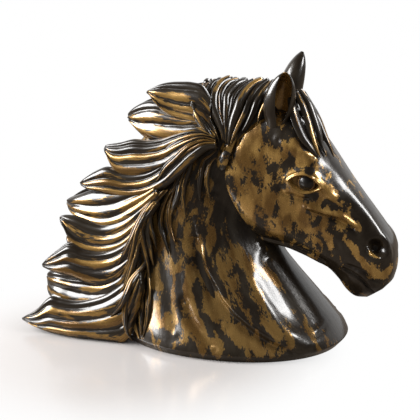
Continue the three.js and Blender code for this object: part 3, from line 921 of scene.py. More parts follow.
@dataclass
class Mane:
    """The blown mane: a core, a row of big locks on each flank, and smaller ones in between."""

    right: tuple[Lock, ...] = (
        Lock(
            ((15.5, -26, 244), (5.4, -23, 255.1), (-6.8, -20, 257.3), (-17.7, -18, 256.8),
             (-29.8, -16, 255.4), (-40.5, -15, 252.6), (-49.2, -14, 248), (-54.4, -13.5, 244.8),
             (-56.5, -13, 243.6)),
            ((17.8, -30, 206.6), (8.3, -29, 212.7), (-2.2, -28, 217.7), (-14.1, -26, 219.6),
             (-25.1, -24, 221.9), (-36.1, -22, 226.8), (-44.1, -20, 233.4), (-50.7, -17.5, 239.6),
             (-55.4, -15, 243.2)),
            6.5, 4.3,
        ),
        Lock(
            ((22.1, -34, 206.8), (8.6, -32.8, 211.5), (-5.1, -31.6, 211.4), (-19.9, -30.2, 207.1),
             (-34, -28.6, 201.9), (-50.2, -27, 198.5), (-65.5, -25.4, 198.1), (-80, -23.8, 193.5),
             (-90, -22.6, 191.1), (-96.3, -21.8, 189.2), (-99, -21, 186.3)),
            ((23.4, -38, 201.8), (10.4, -38.4, 202), (-0.7, -38.8, 195.4), (-15.1, -38.6, 183.4),
             (-27.8, -37.8, 171.3), (-44.9, -37, 162.8), (-61.2, -35.4, 158.6), (-74.5, -33.8, 159.8),
             (-84.7, -31.8, 165.7), (-91.4, -29.4, 174.9), (-95.7, -27, 183.2)),
            6.5, 4.6,
        ),
        Lock(
            ((23.1, -37, 202.5), (11.8, -36.6, 202.7), (-3.5, -36.3, 197.6), (-19.1, -35.8, 187.5),
             (-31.9, -35.1, 177.4), (-45.8, -34.4, 169.2), (-60.9, -33.3, 165.8), (-76.2, -31.8, 166.3),
             (-91.6, -30.4, 169.5), (-105, -29.5, 163.7), (-116.2, -28.7, 156), (-122.8, -28, 150)),
            ((24.4, -41, 198.6), (14.6, -42.1, 195.2), (2.8, -43.2, 184.7), (-11.3, -43.8, 169.9),
             (-24, -43.1, 157.8), (-39.9, -42.4, 148.3), (-56.1, -41.3, 143.7), (-71.4, -39.8, 142.1),
             (-86.8, -38.4, 142.6), (-101.5, -36.4, 144), (-112, -34.2, 145.2), (-120.2, -32, 147.9)),
            6.5, 3.6,
        ),
        Lock(
            ((-36.2, -44, 144.9), (-47, -43.1, 138.8), (-60.1, -42.2, 129.3), (-75.5, -41, 119.5),
             (-92.2, -39.7, 113.6), (-108.8, -38.6, 114.5), (-122, -37.7, 117.8), (-133.3, -36.8, 118.1),
             (-140.3, -35.9, 116.4), (-143.1, -35, 113.3)),
            ((-32.8, -48, 138.1), (-42, -48.9, 123.4), (-53.3, -49.8, 107.4), (-68.4, -49.7, 92.6),
             (-85.7, -49.2, 84.7), (-103.4, -48.1, 81.7), (-118.1, -46.3, 84), (-128.5, -44.3, 92.5),
             (-136.4, -41.7, 105.2), (-140.8, -39, 110.9)),
            6.5, 3.8,
        ),
        Lock(
            ((-48.6, -48, 116.5), (-58, -48.4, 108.7), (-68.6, -48.9, 99.6), (-82.5, -49, 92.2),
             (-97.5, -49, 88.8), (-112.7, -48.8, 88.9), (-126.8, -48.3, 93.2), (-140.3, -48, 83.9),
             (-151.5, -48, 73.7), (-157.7, -48, 67.3)),
            ((-45.2, -52, 105.6), (-50.8, -54.2, 89.4), (-60.8, -56.4, 72.6), (-75.4, -57.7, 58.1),
             (-91.1, -58.6, 53.6), (-107.3, -58.3, 55.1), (-122.9, -57, 58.9), (-136.5, -55.6, 60.8),
             (-148.2, -53.8, 63.4), (-155.3, -52, 65.1)),
            6.5, 4.2,
        ),
        Lock(
            ((-46.7, -60, 77.1), (-58.1, -60.8, 66.9), (-68.5, -61.6, 57.9), (-83.5, -61.8, 47),
             (-101, -61.4, 39.9), (-117.5, -61, 36.5), (-132.8, -60.6, 37.4), (-143.9, -60.2, 38.1),
             (-158.9, -59.8, 23.4), (-171.5, -59.4, 14.7), (-177.2, -59, 10.9)),
            ((-42.4, -64, 54), (-50.3, -66.4, 22.8), (-60.3, -68.8, 2.6), (-76.8, -70.2, 1),
             (-95.9, -70.6, 1.3), (-113, -71, 1.1), (-129.1, -69, 1.1), (-140.9, -67, 1.3),
             (-154.9, -65, 3.5), (-169, -63, 7.4), (-176.1, -61, 10)),
            7, 4.4,
        ),
    )
    top: Lock = Lock(
        ((20.5, -29, 211.5), (6, -25, 223.6), (-12.7, -21, 227.6), (-30.6, -17, 232.7),
         (-45.6, -13, 235.1), (-58.8, -8.5, 233), (-70.1, -4, 226.9), (-77.2, -1, 220.4),
         (-81.3, 2, 213.9)),
        ((22.4, -35, 201.1), (6.6, -33, 207.5), (-11.5, -31, 200.9), (-29.4, -27, 195.9),
         (-44.4, -23, 196), (-55.9, -17.5, 198.1), (-66.3, -12, 203.4), (-74.3, -6, 209.3),
         (-80.1, 0, 212.3)),
        6.5, 3.4,
    )
    between: tuple[Lock, ...] = (
        Lock(
            ((-35.9, -39, 155.9), (-49.1, -37, 153.4), (-64.6, -35, 151.7), (-80.7, -32, 149.7),
             (-96.9, -29, 147.7), (-113.1, -24, 142.2), (-127.3, -19, 135.7), (-138.9, -12.5, 130.5),
             (-146.3, -6, 125.2)),
            ((-32.3, -49, 146.5), (-44.2, -48, 135.2), (-58.4, -47, 123.6), (-74.5, -44, 113.2),
             (-90.7, -41, 107.9), (-107.1, -35, 108), (-122.6, -29, 111.4), (-134.2, -19.5, 114.2),
             (-143.6, -10, 120.5)),
            6.5, 3.7,
        ),
        Lock(
            ((-59.5, -51, 83.5), (-70.6, -50, 76), (-84, -49, 68.2), (-99, -46.5, 63.9), (-114.2, -44, 61.7),
             (-129.9, -40.5, 59.6), (-143.6, -37, 58.9), (-154.9, -31.5, 56.4), (-161.6, -26, 50.1)),
            ((-53.8, -61, 70.5), (-62.5, -61, 51), (-76.5, -61, 38.1), (-92.7, -58.5, 30.4),
             (-108.9, -56, 26.8), (-125, -51.5, 25.8), (-139, -47, 28.2), (-150.4, -38.5, 31.9),
             (-158.8, -30, 43.5)),
            6.5, 3.6,
        ),
    )
    # how far the far flank's lock tips lie from the near ones'
    left_shifts: tuple[Point, ...] = (
        (3, 0, -12), (16, 0, -6), (8, 0, -2), (-6, 0, 2), (4, 0, 0), (-10, 0, 5),
    )
    # the core's rows: place in the neck (x, z), back edge (x, z), half thickness at each
    core_rows: Array = table(
        (0, 226, -38, 232, 12, 8), (-16, 214, -50, 224, 20, 11), (-30, 195, -62, 198, 26, 14),
        (-42, 172, -98, 162, 30, 17), (-50, 150, -115, 136, 33, 22), (-58, 126, -137, 107, 35, 27),
        (-66, 100, -142, 81, 40, 32), (-70, 70, -160, 50, 48, 40), (-72, 40, -158, 23, 56, 48),
        (-74, 16, -140, 9, 58, 50), (-74, 5, -122, 3, 56, 46),
    )
    core_rings: int = 220
    core_around: int = 96
    core_flutes: int = 26
    # the short locks over the core: how many rows, down to which station, and their columns, turn about
    shingle_rows: int = 12
    shingle_end: float = 9.4
    shingle_columns: tuple[tuple[float, ...], ...] = ((-0.34, 0.34), (-0.66, 0.0, 0.66))
    # their places from the neck to the back edge, and how far they stand over it there
    shingle_steps: Line = ((0.30, -5.0), (0.65, -1.0), (0.90, 2.0), (1.01, 9.0))

    def core_table(self, at: Array) -> Array:
        """The core's rows at stations between them."""
        return spline(np.arange(len(self.core_rows)), self.core_rows, at)

    def core_skin(self) -> Skin:
        """The core: rounded rows between the neck and the back edge, fluted so that its grain runs backwards.

        Across a row the half thickness follows |sin(b)|^0.6, and a row's place along it (1 - cos(b)) / 2.

        Returns:
            One closed skin.
        """
        at = np.linspace(0.0, len(self.core_rows) - 1.0, self.core_rings)[:, None]
        x0, z0, x1, z1, thick0, thick1 = self.core_table(at[:, 0]).T[..., None]
        turn = full_turn(self.core_around)
        share = ((1 - np.cos(turn)) / 2)[None]
        sweep = 0.007 * np.sin(np.pi * share)
        ridge = np.abs(np.sin(np.pi * self.core_flutes * (at / at[-1] + sweep))) ** 0.8
        half = thick0 + (thick1 - thick0) * share - (1 - ridge)
        reach = share * (1 - 0.01 * (1 - ridge))
        y = half * np.sign(np.sin(turn)) * np.abs(np.sin(turn)) ** 0.6
        grid = np.stack([x0 + (x1 - x0) * reach, y, z0 + (z1 - z0) * reach], -1)
        flow = np.stack([at * 26 + 0 * share, 8.0 * share + 0 * at, 0.3 * y], -1)
        # gold on the flutes' ridges; leans dark as painted shade in the gaps between the locks
        return closed_skin(grid, grid[0].mean(0), grid[-1].mean(0), flow, 0.1 * (ridge - 0.6) - 0.06)

    def core_locks(self) -> list[Strand]:
        """Short locks lying over the core's back like shingles, with their tips turned up.

        Returns:
            The locks, from the poll down.
        """
        locks = []
        for k, row in enumerate(self.core_table(np.linspace(0.0, self.shingle_end, self.shingle_rows))):
            x0, z0, x1, z1, thick0, thick1 = map(float, row)
            wide, up = 4.0 + 0.36 * thick1, (-0.5, 0.0, 0.85)
            for column in self.shingle_columns[k % 2]:
                route = []
                for far, lift in self.shingle_steps:
                    y = column * (thick0 + (thick1 - thick0) * far)
                    route.append((x0 + (x1 - x0) * far, y, z0 + (z1 - z0) * far + lift))
                locks.append(Strand(tuple(route), wide, 6.5, 3.0, up, root=0.6, belly=0.55, rings=40, across=18))
        return locks

    def body_skins(self) -> list[Skin]:
        """The core, its short locks, and the locks between the big rows with their twins.

        Returns:
            The skins of the one piece.
        """
        between = [replace(k, rings=84, across=40) for k in self.between]
        skins = [self.core_skin()] + [k.skin(40 + i) for i, k in enumerate(self.core_locks())]
        skins += [k.skin(8 + i) for i, k in enumerate(between)]
        return skins + [far_lock(k).skin(16 + i) for i, k in enumerate(between)]


# ---------------------------------------------------------------- ears


@dataclass
class Ear:
    """One pricked ear: a curled leaf, whose section is a crescent open towards the front.

    At each height the crescent is an arc of radius r from -m to m about the side away from the opening, and
    back along an arc of radius r - wall, where m narrows from the closed root to the open blade.
    """

    root: Point
    tip: Point
    opening: Point
    radius: float = 15.0
    wall: float = 3.4
    # up the ear: how high, the arc's share of the radius, and how far round it reaches in degrees
    profile: Array = table(
        (0.0, 0.34, 176), (0.15, 0.62, 172), (0.38, 0.96, 158), (0.6, 1.0, 148), (0.8, 0.78, 138),
        (0.93, 0.46, 124), (1.0, 0.16, 100),
    )
    bow: float = 4.0
    flatness: float = 0.8
    rings: int = 110
    arc: int = 56

    def skin(self) -> Skin:
        """The ear's closed surface, dark outside and gold inside.

        Returns:
            One closed skin.
        """
        u = np.linspace(0.0, 1.0, self.rings)[:, None]
        root, tip, opening = (np.array(v, float) for v in (self.root, self.tip, self.opening))
        axis = unit(tip - root)
        ahead = unit(opening - (opening @ axis) * axis)
        side = np.cross(axis, ahead)
        part, degrees = spline(self.profile[:, 0], self.profile[:, 1:], u[:, 0]).T[..., None]
        radius = self.radius * part
        share = np.linspace(-1.0, 1.0, self.arc)[None]
        angle = np.radians(degrees) * share
        # the rims roll over: the wall thins at both edges of the crescent
        thin = (1 - 0.75 * share**6) * np.minimum(self.wall, 0.55 * radius)
        spine = root + (tip - root) * u - ahead * (self.bow * np.sin(np.pi * u))
        faces = []
        for arc in (radius + 0 * angle, radius - thin):
            back, across = -np.cos(angle) * arc * self.flatness, np.sin(angle) * arc
            faces.append(spine[:, None] + ahead * back[..., None] + side * across[..., None])
        rings = np.concatenate([faces[0], faces[1][:, ::-1]], axis=1)
        tone = np.concatenate([-0.5 + 0 * angle, 0.55 * (1 - share**4) - 0.1 + 0 * angle], 1)
        return sheet_skin(rings, rings * [1.0, 1.0, 0.5], tone)


# ---------------------------------------------------------------- hair over the poll and on the flanks


@dataclass
class Crest:
    """The hair over the poll: a dome with strands that sweep from its top down to a knot on each flank."""

    # each section's x, centre height, half width and half height
    sections: Array = table(
        (-14, 234, 7, 6), (-4, 220, 18, 24), (10, 208, 25, 42), (36, 204, 28, 51), (50, 204, 28, 53),
        (61, 206, 26, 52), (72, 212, 21, 44), (80, 222, 13, 30),
    )
    # the knot on the left flank, and its half sizes
    knot: Point = (29.0, 29.0, 195.0)
    knot_half: Point = (9.0, 5.0, 20.0)
    # each strand's route down the right side, and its half width
    routes: tuple[tuple[Route, float], ...] = (
        (((-4, -16, 253), (-4, -24, 242), (-1, -27, 231), (5, -31, 222), (14, -34, 213), (22, -35, 205)), 3.2),
        (((2, -12, 254), (1, -23, 245), (3, -27, 234), (9, -31, 223), (17, -34, 213), (24, -35, 204)), 3.2),
        (((7, -8, 254), (5, -20, 245), (8, -26, 234), (14, -30, 223), (21, -33, 213), (26, -35, 203)), 3.4),
        (((17, 1, 258), (11, -8, 255), (9, -18, 246), (13, -26, 234), (21, -30, 223), (27, -33, 213),
          (29, -35, 203)), 3.8),
        (((26, 1, 259), (19, -8, 255), (16, -19, 246), (18, -26, 234), (24, -30, 224), (29, -33, 213),
          (31, -35, 203)), 3.8),
        (((34, 1, 258), (27, -9, 256), (23, -19, 247), (25, -26, 235), (28, -30, 223), (31, -33, 212),
          (32, -35, 202)), 3.6),
        (((42, 1, 258), (35, -9, 255), (29, -19, 246), (30, -26, 235), (31, -30, 223), (32, -33, 212),
          (33, -35, 201)), 3.6),
        (((50, 1, 259), (42, -9, 254), (36, -19, 246), (35, -26, 235), (34, -30, 223), (34, -33, 212),
          (34, -35, 200)), 3.8),
        (((58, 1, 259), (49, -9, 254), (43, -19, 244), (41, -26, 234), (38, -30, 223), (36, -33, 211),
          (35, -35, 200)), 3.8),
        (((64, 1, 260), (56, -9, 253), (51, -19, 242), (48, -26, 231), (44, -30, 221), (40, -33, 211),
          (36, -35, 199)), 3.8),
        (((69, 0, 258), (64, -12, 250), (59, -21, 240), (56, -26, 230), (52, -30, 221), (47, -32, 214)), 3.6),
        (((73, -14, 249), (68, -22, 241), (64, -26, 231), (62, -29, 222)), 3.2),
    )
    # how wide and thick a strand is, turn about
    shares: tuple[float, ...] = (1.3, 0.85, 1.1, 0.75)

    def dome(self) -> Skin:
        """The dome: ellipses strung along the crest line, painted dark as the shade in the gaps between the
        strands.

        Returns:
            One closed skin.
        """
        x = np.linspace(self.sections[0, 0], self.sections[-1, 0], 90)
        middle, wide, high = spline(self.sections[:, 0], self.sections[:, 1:], x).T[..., None]
        turn = full_turn(120)
        grid = np.stack([x[:, None] + 0 * turn, wide * np.cos(turn), middle + high * np.sin(turn)], -1)
        flow = np.stack([grid[..., 0], 0.1 * grid[..., 2], 0.3 * grid[..., 1]], -1)
        # dark all over: painted shade in the gaps between the strands
        return closed_skin(grid, grid[0].mean(0), grid[-1].mean(0), flow, np.full(grid.shape[:2], -0.3))

    def strands(self) -> list[Strand]:
        """Strands on both sides, from the crest line to the knot.

        Returns:
            The near side's strands, then their twins.
        """
        near = []
        for k, (route, wide) in enumerate(self.routes):
            share = self.shares[k % len(self.shares)]
            up, aside = (0, -0.35, 1), (0, -1, 0.1)
            near.append(Strand(route, wide * share, 4.0 * share, 1.0, up, aside, 0.7, 0.45, -0.05))
        return near + [far_strand(k) for k in near]

    def knot_skin(self, side: Side) -> Skin:
        """The smooth boss where the strands gather: a ball flattened sideways and drawn out down the cheek.

        With x and z from its middle, it is sheared out by 0.45x - 0.25z and forward by 0.30z + 0.012z^2.

        Args:
            side: the flank that it is on.

        Returns:
            The skin.
        """
        polar = np.linspace(0.05, np.pi - 0.05, 40)[:, None]
        turn = full_turn(48)[None]
        (x0, y0, z0), (wide, deep, high) = self.knot, self.knot_half
        x, y = wide * np.sin(polar) * np.cos(turn), deep * np.sin(polar) * np.sin(turn)
        z = high * np.cos(polar) + 0 * turn
        y = side.value * (y0 + 0.45 * x - 0.25 * z) + y
        grid = np.stack([x0 + x + 0.30 * z + 0.012 * z**2, y, z0 + z], -1)
        return closed_skin(grid, grid[0].mean(0), grid[-1].mean(0), grid, np.full(grid.shape[:2], 0.05))

    def skins(self) -> list[Skin]:
        """The dome, both knots and the strands."""
        smooth = [self.dome()] + [self.knot_skin(side) for side in Side]
        return smooth + [k.skin(60 + i) for i, k in enumerate(self.strands())]


@dataclass
class Forelock:
    """The hair down the forehead, which comes out between the ears."""

    # each strand's route down the right side, and its half width
    routes: tuple[tuple[Route, float], ...] = (
        (((91, -16, 248), (95, -20, 234), (101, -25, 222), (108, -29, 211), (115, -30, 203),
          (122, -29, 193)), 5.5),
        (((95, -11, 252), (103, -15, 239), (109, -19, 226), (114, -23, 214), (119, -26, 203),
          (124, -28, 193)), 4.4),
        (((97, -8, 254), (107, -10, 242), (114, -14, 228), (119, -17, 216), (123, -20, 204),
          (129, -22, 193)), 4.4),
        (((99, -4, 252), (109, -6, 237), (117, -9, 225), (123, -11, 213), (129, -13, 202),
          (134, -14, 191)), 4.4),
        (((98, -1, 243), (106, -1, 231), (115, -2, 220), (122, -3, 208), (129, -3, 196),
          (137, -3, 185)), 4.4),
    )

    def strands(self) -> list[Strand]:
        """The strands, facing out of the forehead, and their twins a little further in and down.

        Returns:
            The near side's strands, then their twins.
        """
        near = []
        for k, (route, wide) in enumerate(self.routes):
            near.append(Strand(route, wide, 3.0, 1.0, (0.62, -0.62 + 0.13 * k, 0.5), None, 0.7, 0.35, -0.04))
        drawn_in = [replace(k, route=tuple((x - 6, 0.7 * y, z - 4) for x, y, z in k.route)) for k in near[:-1]]
        return near + [far_strand(k) for k in drawn_in]


@dataclass
class Flank:
    """Thin strands that hug one flank of the neck and gather into the roots of the big locks."""

    # each strand's route on the right flank, and its half width
    routes: tuple[tuple[Route, float], ...] = (
        (((23, -36, 208), (13, -36, 210), (1, -36, 208), (-10, -37, 203), (-22, -37, 196),
          (-35, -36, 185)), 3.4),
        (((23, -37, 205), (15, -39, 206), (5, -41, 203), (-4, -43, 198), (-16, -44, 186), (-26, -44, 176),
          (-34, -43, 164), (-44, -40, 155)), 3),
        (((23, -32, 200), (13, -32, 199), (2, -33, 194), (-6, -33, 188), (-13, -34, 176), (-16, -37, 162),
          (-22, -38, 151), (-29, -39, 142)), 3.2),
        (((23, -32, 200), (10, -33, 197), (-1, -33, 188), (-8, -35, 176), (-13, -37, 161), (-15, -40, 148),
          (-20, -43, 133), (-24, -46, 118)), 3.4),
        (((23, -32, 198), (15, -33, 197), (6, -33, 192), (-2, -34, 184), (-6, -36, 172), (-10, -38, 158),
          (-9, -41, 143), (-5, -45, 128)), 3.6),
        (((23, -33, 195), (17, -34, 189), (10, -34, 183), (8, -36, 170), (7, -38, 157), (8, -41, 144)), 3),
        (((25, -33, 188), (19, -34, 184), (15, -35, 175), (14, -37, 162), (18, -39, 147)), 2.4),
        (((-16, -38, 159), (-21, -39, 147), (-23, -43, 132), (-21, -46, 117), (-14, -51, 102)), 2.8),
        (((-20, -38, 156), (-26, -39, 145), (-31, -41, 131), (-31, -44, 118), (-27, -48, 107),
          (-20, -53, 91)), 3.2),
        (((-24, -43, 154), (-34, -45, 143), (-42, -46, 130), (-42, -47, 117), (-37, -48, 105),
          (-34, -49, 94)), 3.2),
        (((-36, -45, 140), (-42, -48, 124), (-44, -50, 109), (-40, -52, 94), (-36, -53, 78)), 3),
        (((-27, -45, 154), (-37, -47, 144), (-46, -49, 132), (-50, -51, 119), (-48, -53, 104), (-43, -55, 86),
          (-39, -56, 66)), 3.4),
        (((-30, -45, 152), (-41, -49, 140), (-51, -52, 122), (-58, -56, 104), (-65, -58, 89),
          (-74, -58, 74)), 3.4),
        (((-39, -48, 142), (-46, -52, 128), (-53, -55, 112), (-56, -58, 94), (-60, -60, 78),
          (-68, -61, 62)), 3.4),
        (((-44, -51, 126), (-50, -54, 108), (-53, -58, 89), (-57, -61, 74), (-61, -64, 61),
          (-69, -66, 48)), 3.4),
        (((-39, -49, 89), (-46, -60, 77), (-54, -64, 66), (-58, -69, 54), (-64, -72, 40), (-76, -71, 26)), 3.6),
        (((-45, -51, 83), (-54, -64, 63), (-59, -68, 45), (-60, -71, 30), (-57, -72, 12), (-51, -72, 4)), 3.6),
        (((-46, -49, 78), (-53, -51, 60), (-58, -52, 43), (-58, -57, 28), (-50, -67, 16), (-44, -73, 7)), 3.6),
        (((-44, -50, 76), (-47, -55, 57), (-46, -60, 43), (-44, -67, 26), (-42, -74, 11)), 3.8),
        (((-43, -51, 75), (-39, -58, 59), (-37, -65, 41), (-37, -71, 25), (-40, -75, 10)), 3),
    )

    def strands(self) -> list[Strand]:
        """The right flank's strands."""
        out = (-0.35, -0.85, 0.38)
        return [Strand(route, wide, 3.2, 2.0, out, root=0.25, belly=0.5) for route, wide in self.routes]


# ---------------------------------------------------------------- shader maths


class Value:
    """A socket of a material's nodes, on which Python's operators add Math nodes."""

    def __init__(self, nodes: "Nodes", socket: bpy.types.NodeSocket) -> None:
        """Wraps one output socket."""
        self.nodes = nodes
        self.socket = socket

    def __add__(self, other: "Value | float") -> "Value":
        """self + other."""
        return self.nodes.math("ADD", self, other)

    def __sub__(self, other: "Value | float") -> "Value":
        """self - other."""
        return self.nodes.math("SUBTRACT", self, other)

    def __rsub__(self, other: "Value | float") -> "Value":
        """other - self."""
        return self.nodes.math("SUBTRACT", other, self)

    def __mul__(self, other: "Value | float") -> "Value":
        """self * other."""
        return self.nodes.math("MULTIPLY", self, other)

    __radd__ = __add__
    __rmul__ = __mul__


Input = Value | float | tuple


class Nodes:
    """Adds nodes to one material, starting from its Principled BSDF."""

    def __init__(self, name: str) -> None:
        """Makes the material.

        Args:
            name: the material's name.
        """
        self.material = bpy.data.materials.new(name)
        self.material.use_nodes = True
        self.tree = self.material.node_tree
        self.surface = self.tree.nodes["Principled BSDF"]

    def add(
        self, kind: str, settings: dict[str, object], sockets: dict[str | int, Input], output: int | str = 0
    ) -> Value:
        """Adds one node.

        Args:
            kind: the node's type.
            settings: its settings, such as a Math node's operation, set first.
            sockets: values or links of its inputs, by name or number.
            output: which of its outputs to give.

        Returns:
            That output.
        """
        node = self.tree.nodes.new(kind)
        for name, value in settings.items():
            setattr(node, name, value)
        for key, value in sockets.items():
            self.feed(node.inputs[key], value)
        return Value(self, node.outputs[output])

    def feed(self, socket: bpy.types.NodeSocket, value: Input) -> None:
        """Links a value to a socket, or sets the socket to a number or tuple.

        Args:
            socket: the input.
            value: what it takes.
        """
        if isinstance(value, Value):
            self.tree.links.new(value.socket, socket)
        else:
            socket.default_value = value

    def math(self, operation: str, a: Input, b: Input) -> Value:
        """A Math node of two inputs."""
        return self.add("ShaderNodeMath", {"operation": operation}, {0: a, 1: b})

    def mix(self, share: Input, low: Input, high: Input) -> Value:
        """A colour between low and high."""
        return self.add("ShaderNodeMix", {"data_type": "RGBA"}, {0: share, 6: low, 7: high}, 2)

    def step(self, value: Input, low: float, high: float) -> Value:
        """A smooth step from 0 at low to 1 at high."""
        settings = {"interpolation_type": "SMOOTHSTEP"}
        return self.add("ShaderNodeMapRange", settings, {0: value, 1: low, 2: high, 3: 0.0, 4: 1.0})

    def noise(self, where: Value, scale: float, detail: float, rough: float = 0.55, warp: float = 0.0) -> Value:
        """Fractal noise from 0 to 1."""
        sockets = {"Vector": where, "Scale": scale, "Detail": detail, "Roughness": rough, "Distortion": warp}
        return self.add("ShaderNodeTexNoise", {"noise_dimensions": "3D"}, sockets)

    def attribute(self, name: str, output: str) -> Value:
        """A mesh attribute, as Vector or Fac."""
        return self.add("ShaderNodeAttribute", {"attribute_name": name}, {}, output)

    def bump(self, height: Value, distance: float) -> Value:
        """A Bump node of a height from 0 to 1 that stands for the distance, in metres."""
        return self.add("ShaderNodeBump", {}, {"Strength": 1.0, "Distance": distance, "Height": height})

    def place(self) -> Value:
        """The place in the object's own coordinates, in metres."""
        return self.add("ShaderNodeTexCoord", {}, {}, "Object")

    def finish(self, **inputs: Input) -> bpy.types.Material:
        """Feeds the Principled BSDF.

        Args:
            inputs: values by the name of the socket, with _ for a space.

        Returns:
            The material.
        """
        for name, value in inputs.items():
            self.feed(self.surface.inputs[name.replace("_", " ")], value)
        return self.material


# ---------------------------------------------------------------- finishes


@dataclass(frozen=True)
class Patina:
    """Gold-brown bronze under a near-black patina, rubbed through in clouds with speckled edges, and lacquered.

    The gold shows where noise(flow) + lean + tone passes a threshold, with finer noise breaking its edge. patch,
    speckle and pit are the sizes, in millimetres, of the clouds, the grains on their edges and the shallow pits,
    and dent is the pits' depth.
    """

    name: str
    lean: float = 0.0
    patch: float = 11.0
    speckle: float = 1.1
    gold: Colour = (0.280, 0.162, 0.046, 1.0)
    amber: Colour = (0.110, 0.056, 0.014, 1.0)
    dark: Colour = (0.0100, 0.0064, 0.0034, 1.0)
    slate: Colour = (0.0200, 0.0148, 0.0092, 1.0)
    edge: tuple[float, float] = (0.485, 0.515)
    pit: float = 5.0
    dent: float = 0.35

    def material(self) -> bpy.types.Material:
        """Builds the finish.

        Returns:
            The material.
        """
        n = Nodes(self.name)
        flow = n.attribute("flow", "Vector")
        tone = n.attribute("tone", "Fac")
        broad = n.noise(flow, 1.0 / self.patch, 2.0, 0.5, 0.5)
        fine = n.noise(flow, 1.0 / self.speckle, 1.0, 0.5)
        clouds = broad + (fine - 0.5) * 0.30 + tone + self.lean
        show = n.step(clouds, *self.edge)
        depth = n.noise(flow, 1.0 / (1.2 * self.patch), 2.0, 0.5)
        metal = n.mix(n.step(depth, 0.35, 0.62), self.amber, self.gold)
        under = n.mix(n.step(depth, 0.40, 0.70), self.dark, self.slate)
        colour = n.mix(show, under, metal)
        pits = n.noise(flow, 1.0 / self.pit, 3.0, 0.5)
        return n.finish(
            Base_Color=colour,
            Metallic=0.15 + 0.45 * show,
            Roughness=0.30 + 0.10 * (fine - 0.5) - 0.04 * show,
            Specular_IOR_Level=0.3,
            Coat_Weight=0.62,
            Coat_Roughness=0.15,
            Coat_IOR=1.5,
            Normal=n.bump(pits, self.dent * MM),
        )


@dataclass(frozen=True)
class EyeGlaze:
    """A polished ball, mottled gold where its tone is above 0, with a dark iris where it is below."""

    name: str = "eye_polish"
    iris: Colour = (0.010, 0.008, 0.007, 1.0)
    umber: Colour = (0.06, 0.035, 0.018, 1.0)
    gold: Colour = (0.42, 0.25, 0.10, 1.0)

    def material(self) -> bpy.types.Material:
        """Builds the finish.

        Returns:
            The material.
        """
        n = Nodes(self.name)
        ball = n.step(n.attribute("tone", "Fac"), -0.1, 0.1)
        cloud = n.noise(n.attribute("flow", "Vector"), 1.0 / 2.5, 2.0, 0.6)
        return n.finish(
            Base_Color=n.mix(ball, self.iris, n.mix(n.step(cloud, 0.42, 0.6), self.umber, self.gold)),
            Metallic=0.2 + 0.6 * ball,
            Roughness=0.30,
            Coat_Weight=0.25,
            Coat_Roughness=0.10,
        )


@dataclass(frozen=True)
class BlackSheet:
    """Steel sheet under matt black paint with a fine orange-peel."""

    name: str = "black_paint"
    black: Colour = (0.014, 0.014, 0.015, 1.0)
    worn: Colour = (0.035, 0.035, 0.037, 1.0)

    def material(self) -> bpy.types.Material:
        """Builds the finish.

        Returns:
            The material.
        """
        n = Nodes(self.name)
        where = n.place()
        peel = n.noise(where, 1400.0, 2.0)
        scuff = n.step(n.noise(where, 60.0, 4.0, 0.7), 0.55, 0.75)
        return n.finish(
            Base_Color=n.mix(scuff, self.black, self.worn),
            Roughness=0.42 + 0.15 * scuff,
            Normal=n.bump(peel, 0.06 * MM),
        )


@dataclass(frozen=True)
class Zinc:
    """Bright zinc plate with spangle and fine scratches."""

    name: str = "zinc_plate"
    dull: Colour = (0.42, 0.43, 0.44, 1.0)
    bright: Colour = (0.66, 0.67, 0.68, 1.0)

    def material(self) -> bpy.types.Material:
        """Builds the finish.

        Returns:
            The material.
        """
        n = Nodes(self.name)
        where = n.place()
        spangle = n.noise(where, 900.0, 3.0, 0.6)
        return n.finish(
            Base_Color=n.mix(spangle, self.dull, self.bright),
            Metallic=1.0,
            Roughness=0.28 + 0.2 * spangle,
            Normal=n.bump(n.noise(where, 3000.0, 2.0), 0.02 * MM),
        )


@dataclass(frozen=True)
class WoolFelt:
    """Pressed wool: clumps of short fibre over fine fuzz."""

    name: str = "wool_felt"
    deep: Colour = (0.014, 0.016, 0.019, 1.0)
    pale: Colour = (0.050, 0.055, 0.062, 1.0)

    def material(self) -> bpy.types.Material:
        """Builds the finish.

        Returns:
            The material.
        """
        n = Nodes(self.name)
        where = n.place()
        clump = n.noise(where, 420.0, 4.0, 0.7)
        fuzz = n.noise(where, 2600.0, 2.0, 0.7, 1.5)
        return n.finish(
            Base_Color=n.mix(clump, self.deep, self.pale),
            Roughness=0.92 + 0.06 * (fuzz - 0.5),
            Sheen_Weight=0.25,
            Normal=n.bump(fuzz + 0.6 * clump, 0.5 * MM),
        )


# ---------------------------------------------------------------- sub-assemblies


def show(name: str, skins: list[Skin], material: bpy.types.Material, slot: str, node: str) -> None:
    """Makes a piece that rides on the bust.

    Args:
        name: the piece's name.
        skins: the closed surfaces it holds.
        material: its finish.
        slot: the record's material slot; not used.
        node: the CAD node that it stands for.
    """
    made = make_piece(name, skins, material)
    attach(made, "root")
    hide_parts(node)
    LOG.info("%s: %d faces", name, len(made.data.polygons))


def dress(node: str, material: bpy.types.Material) -> None:
    """Gives a CAD node that stays in view its finish.

    Args:
        node: the node's name.
        material: the finish.
    """
    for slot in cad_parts[node].material_slots:
        slot.material = material
    LOG.info("%s dressed", node)


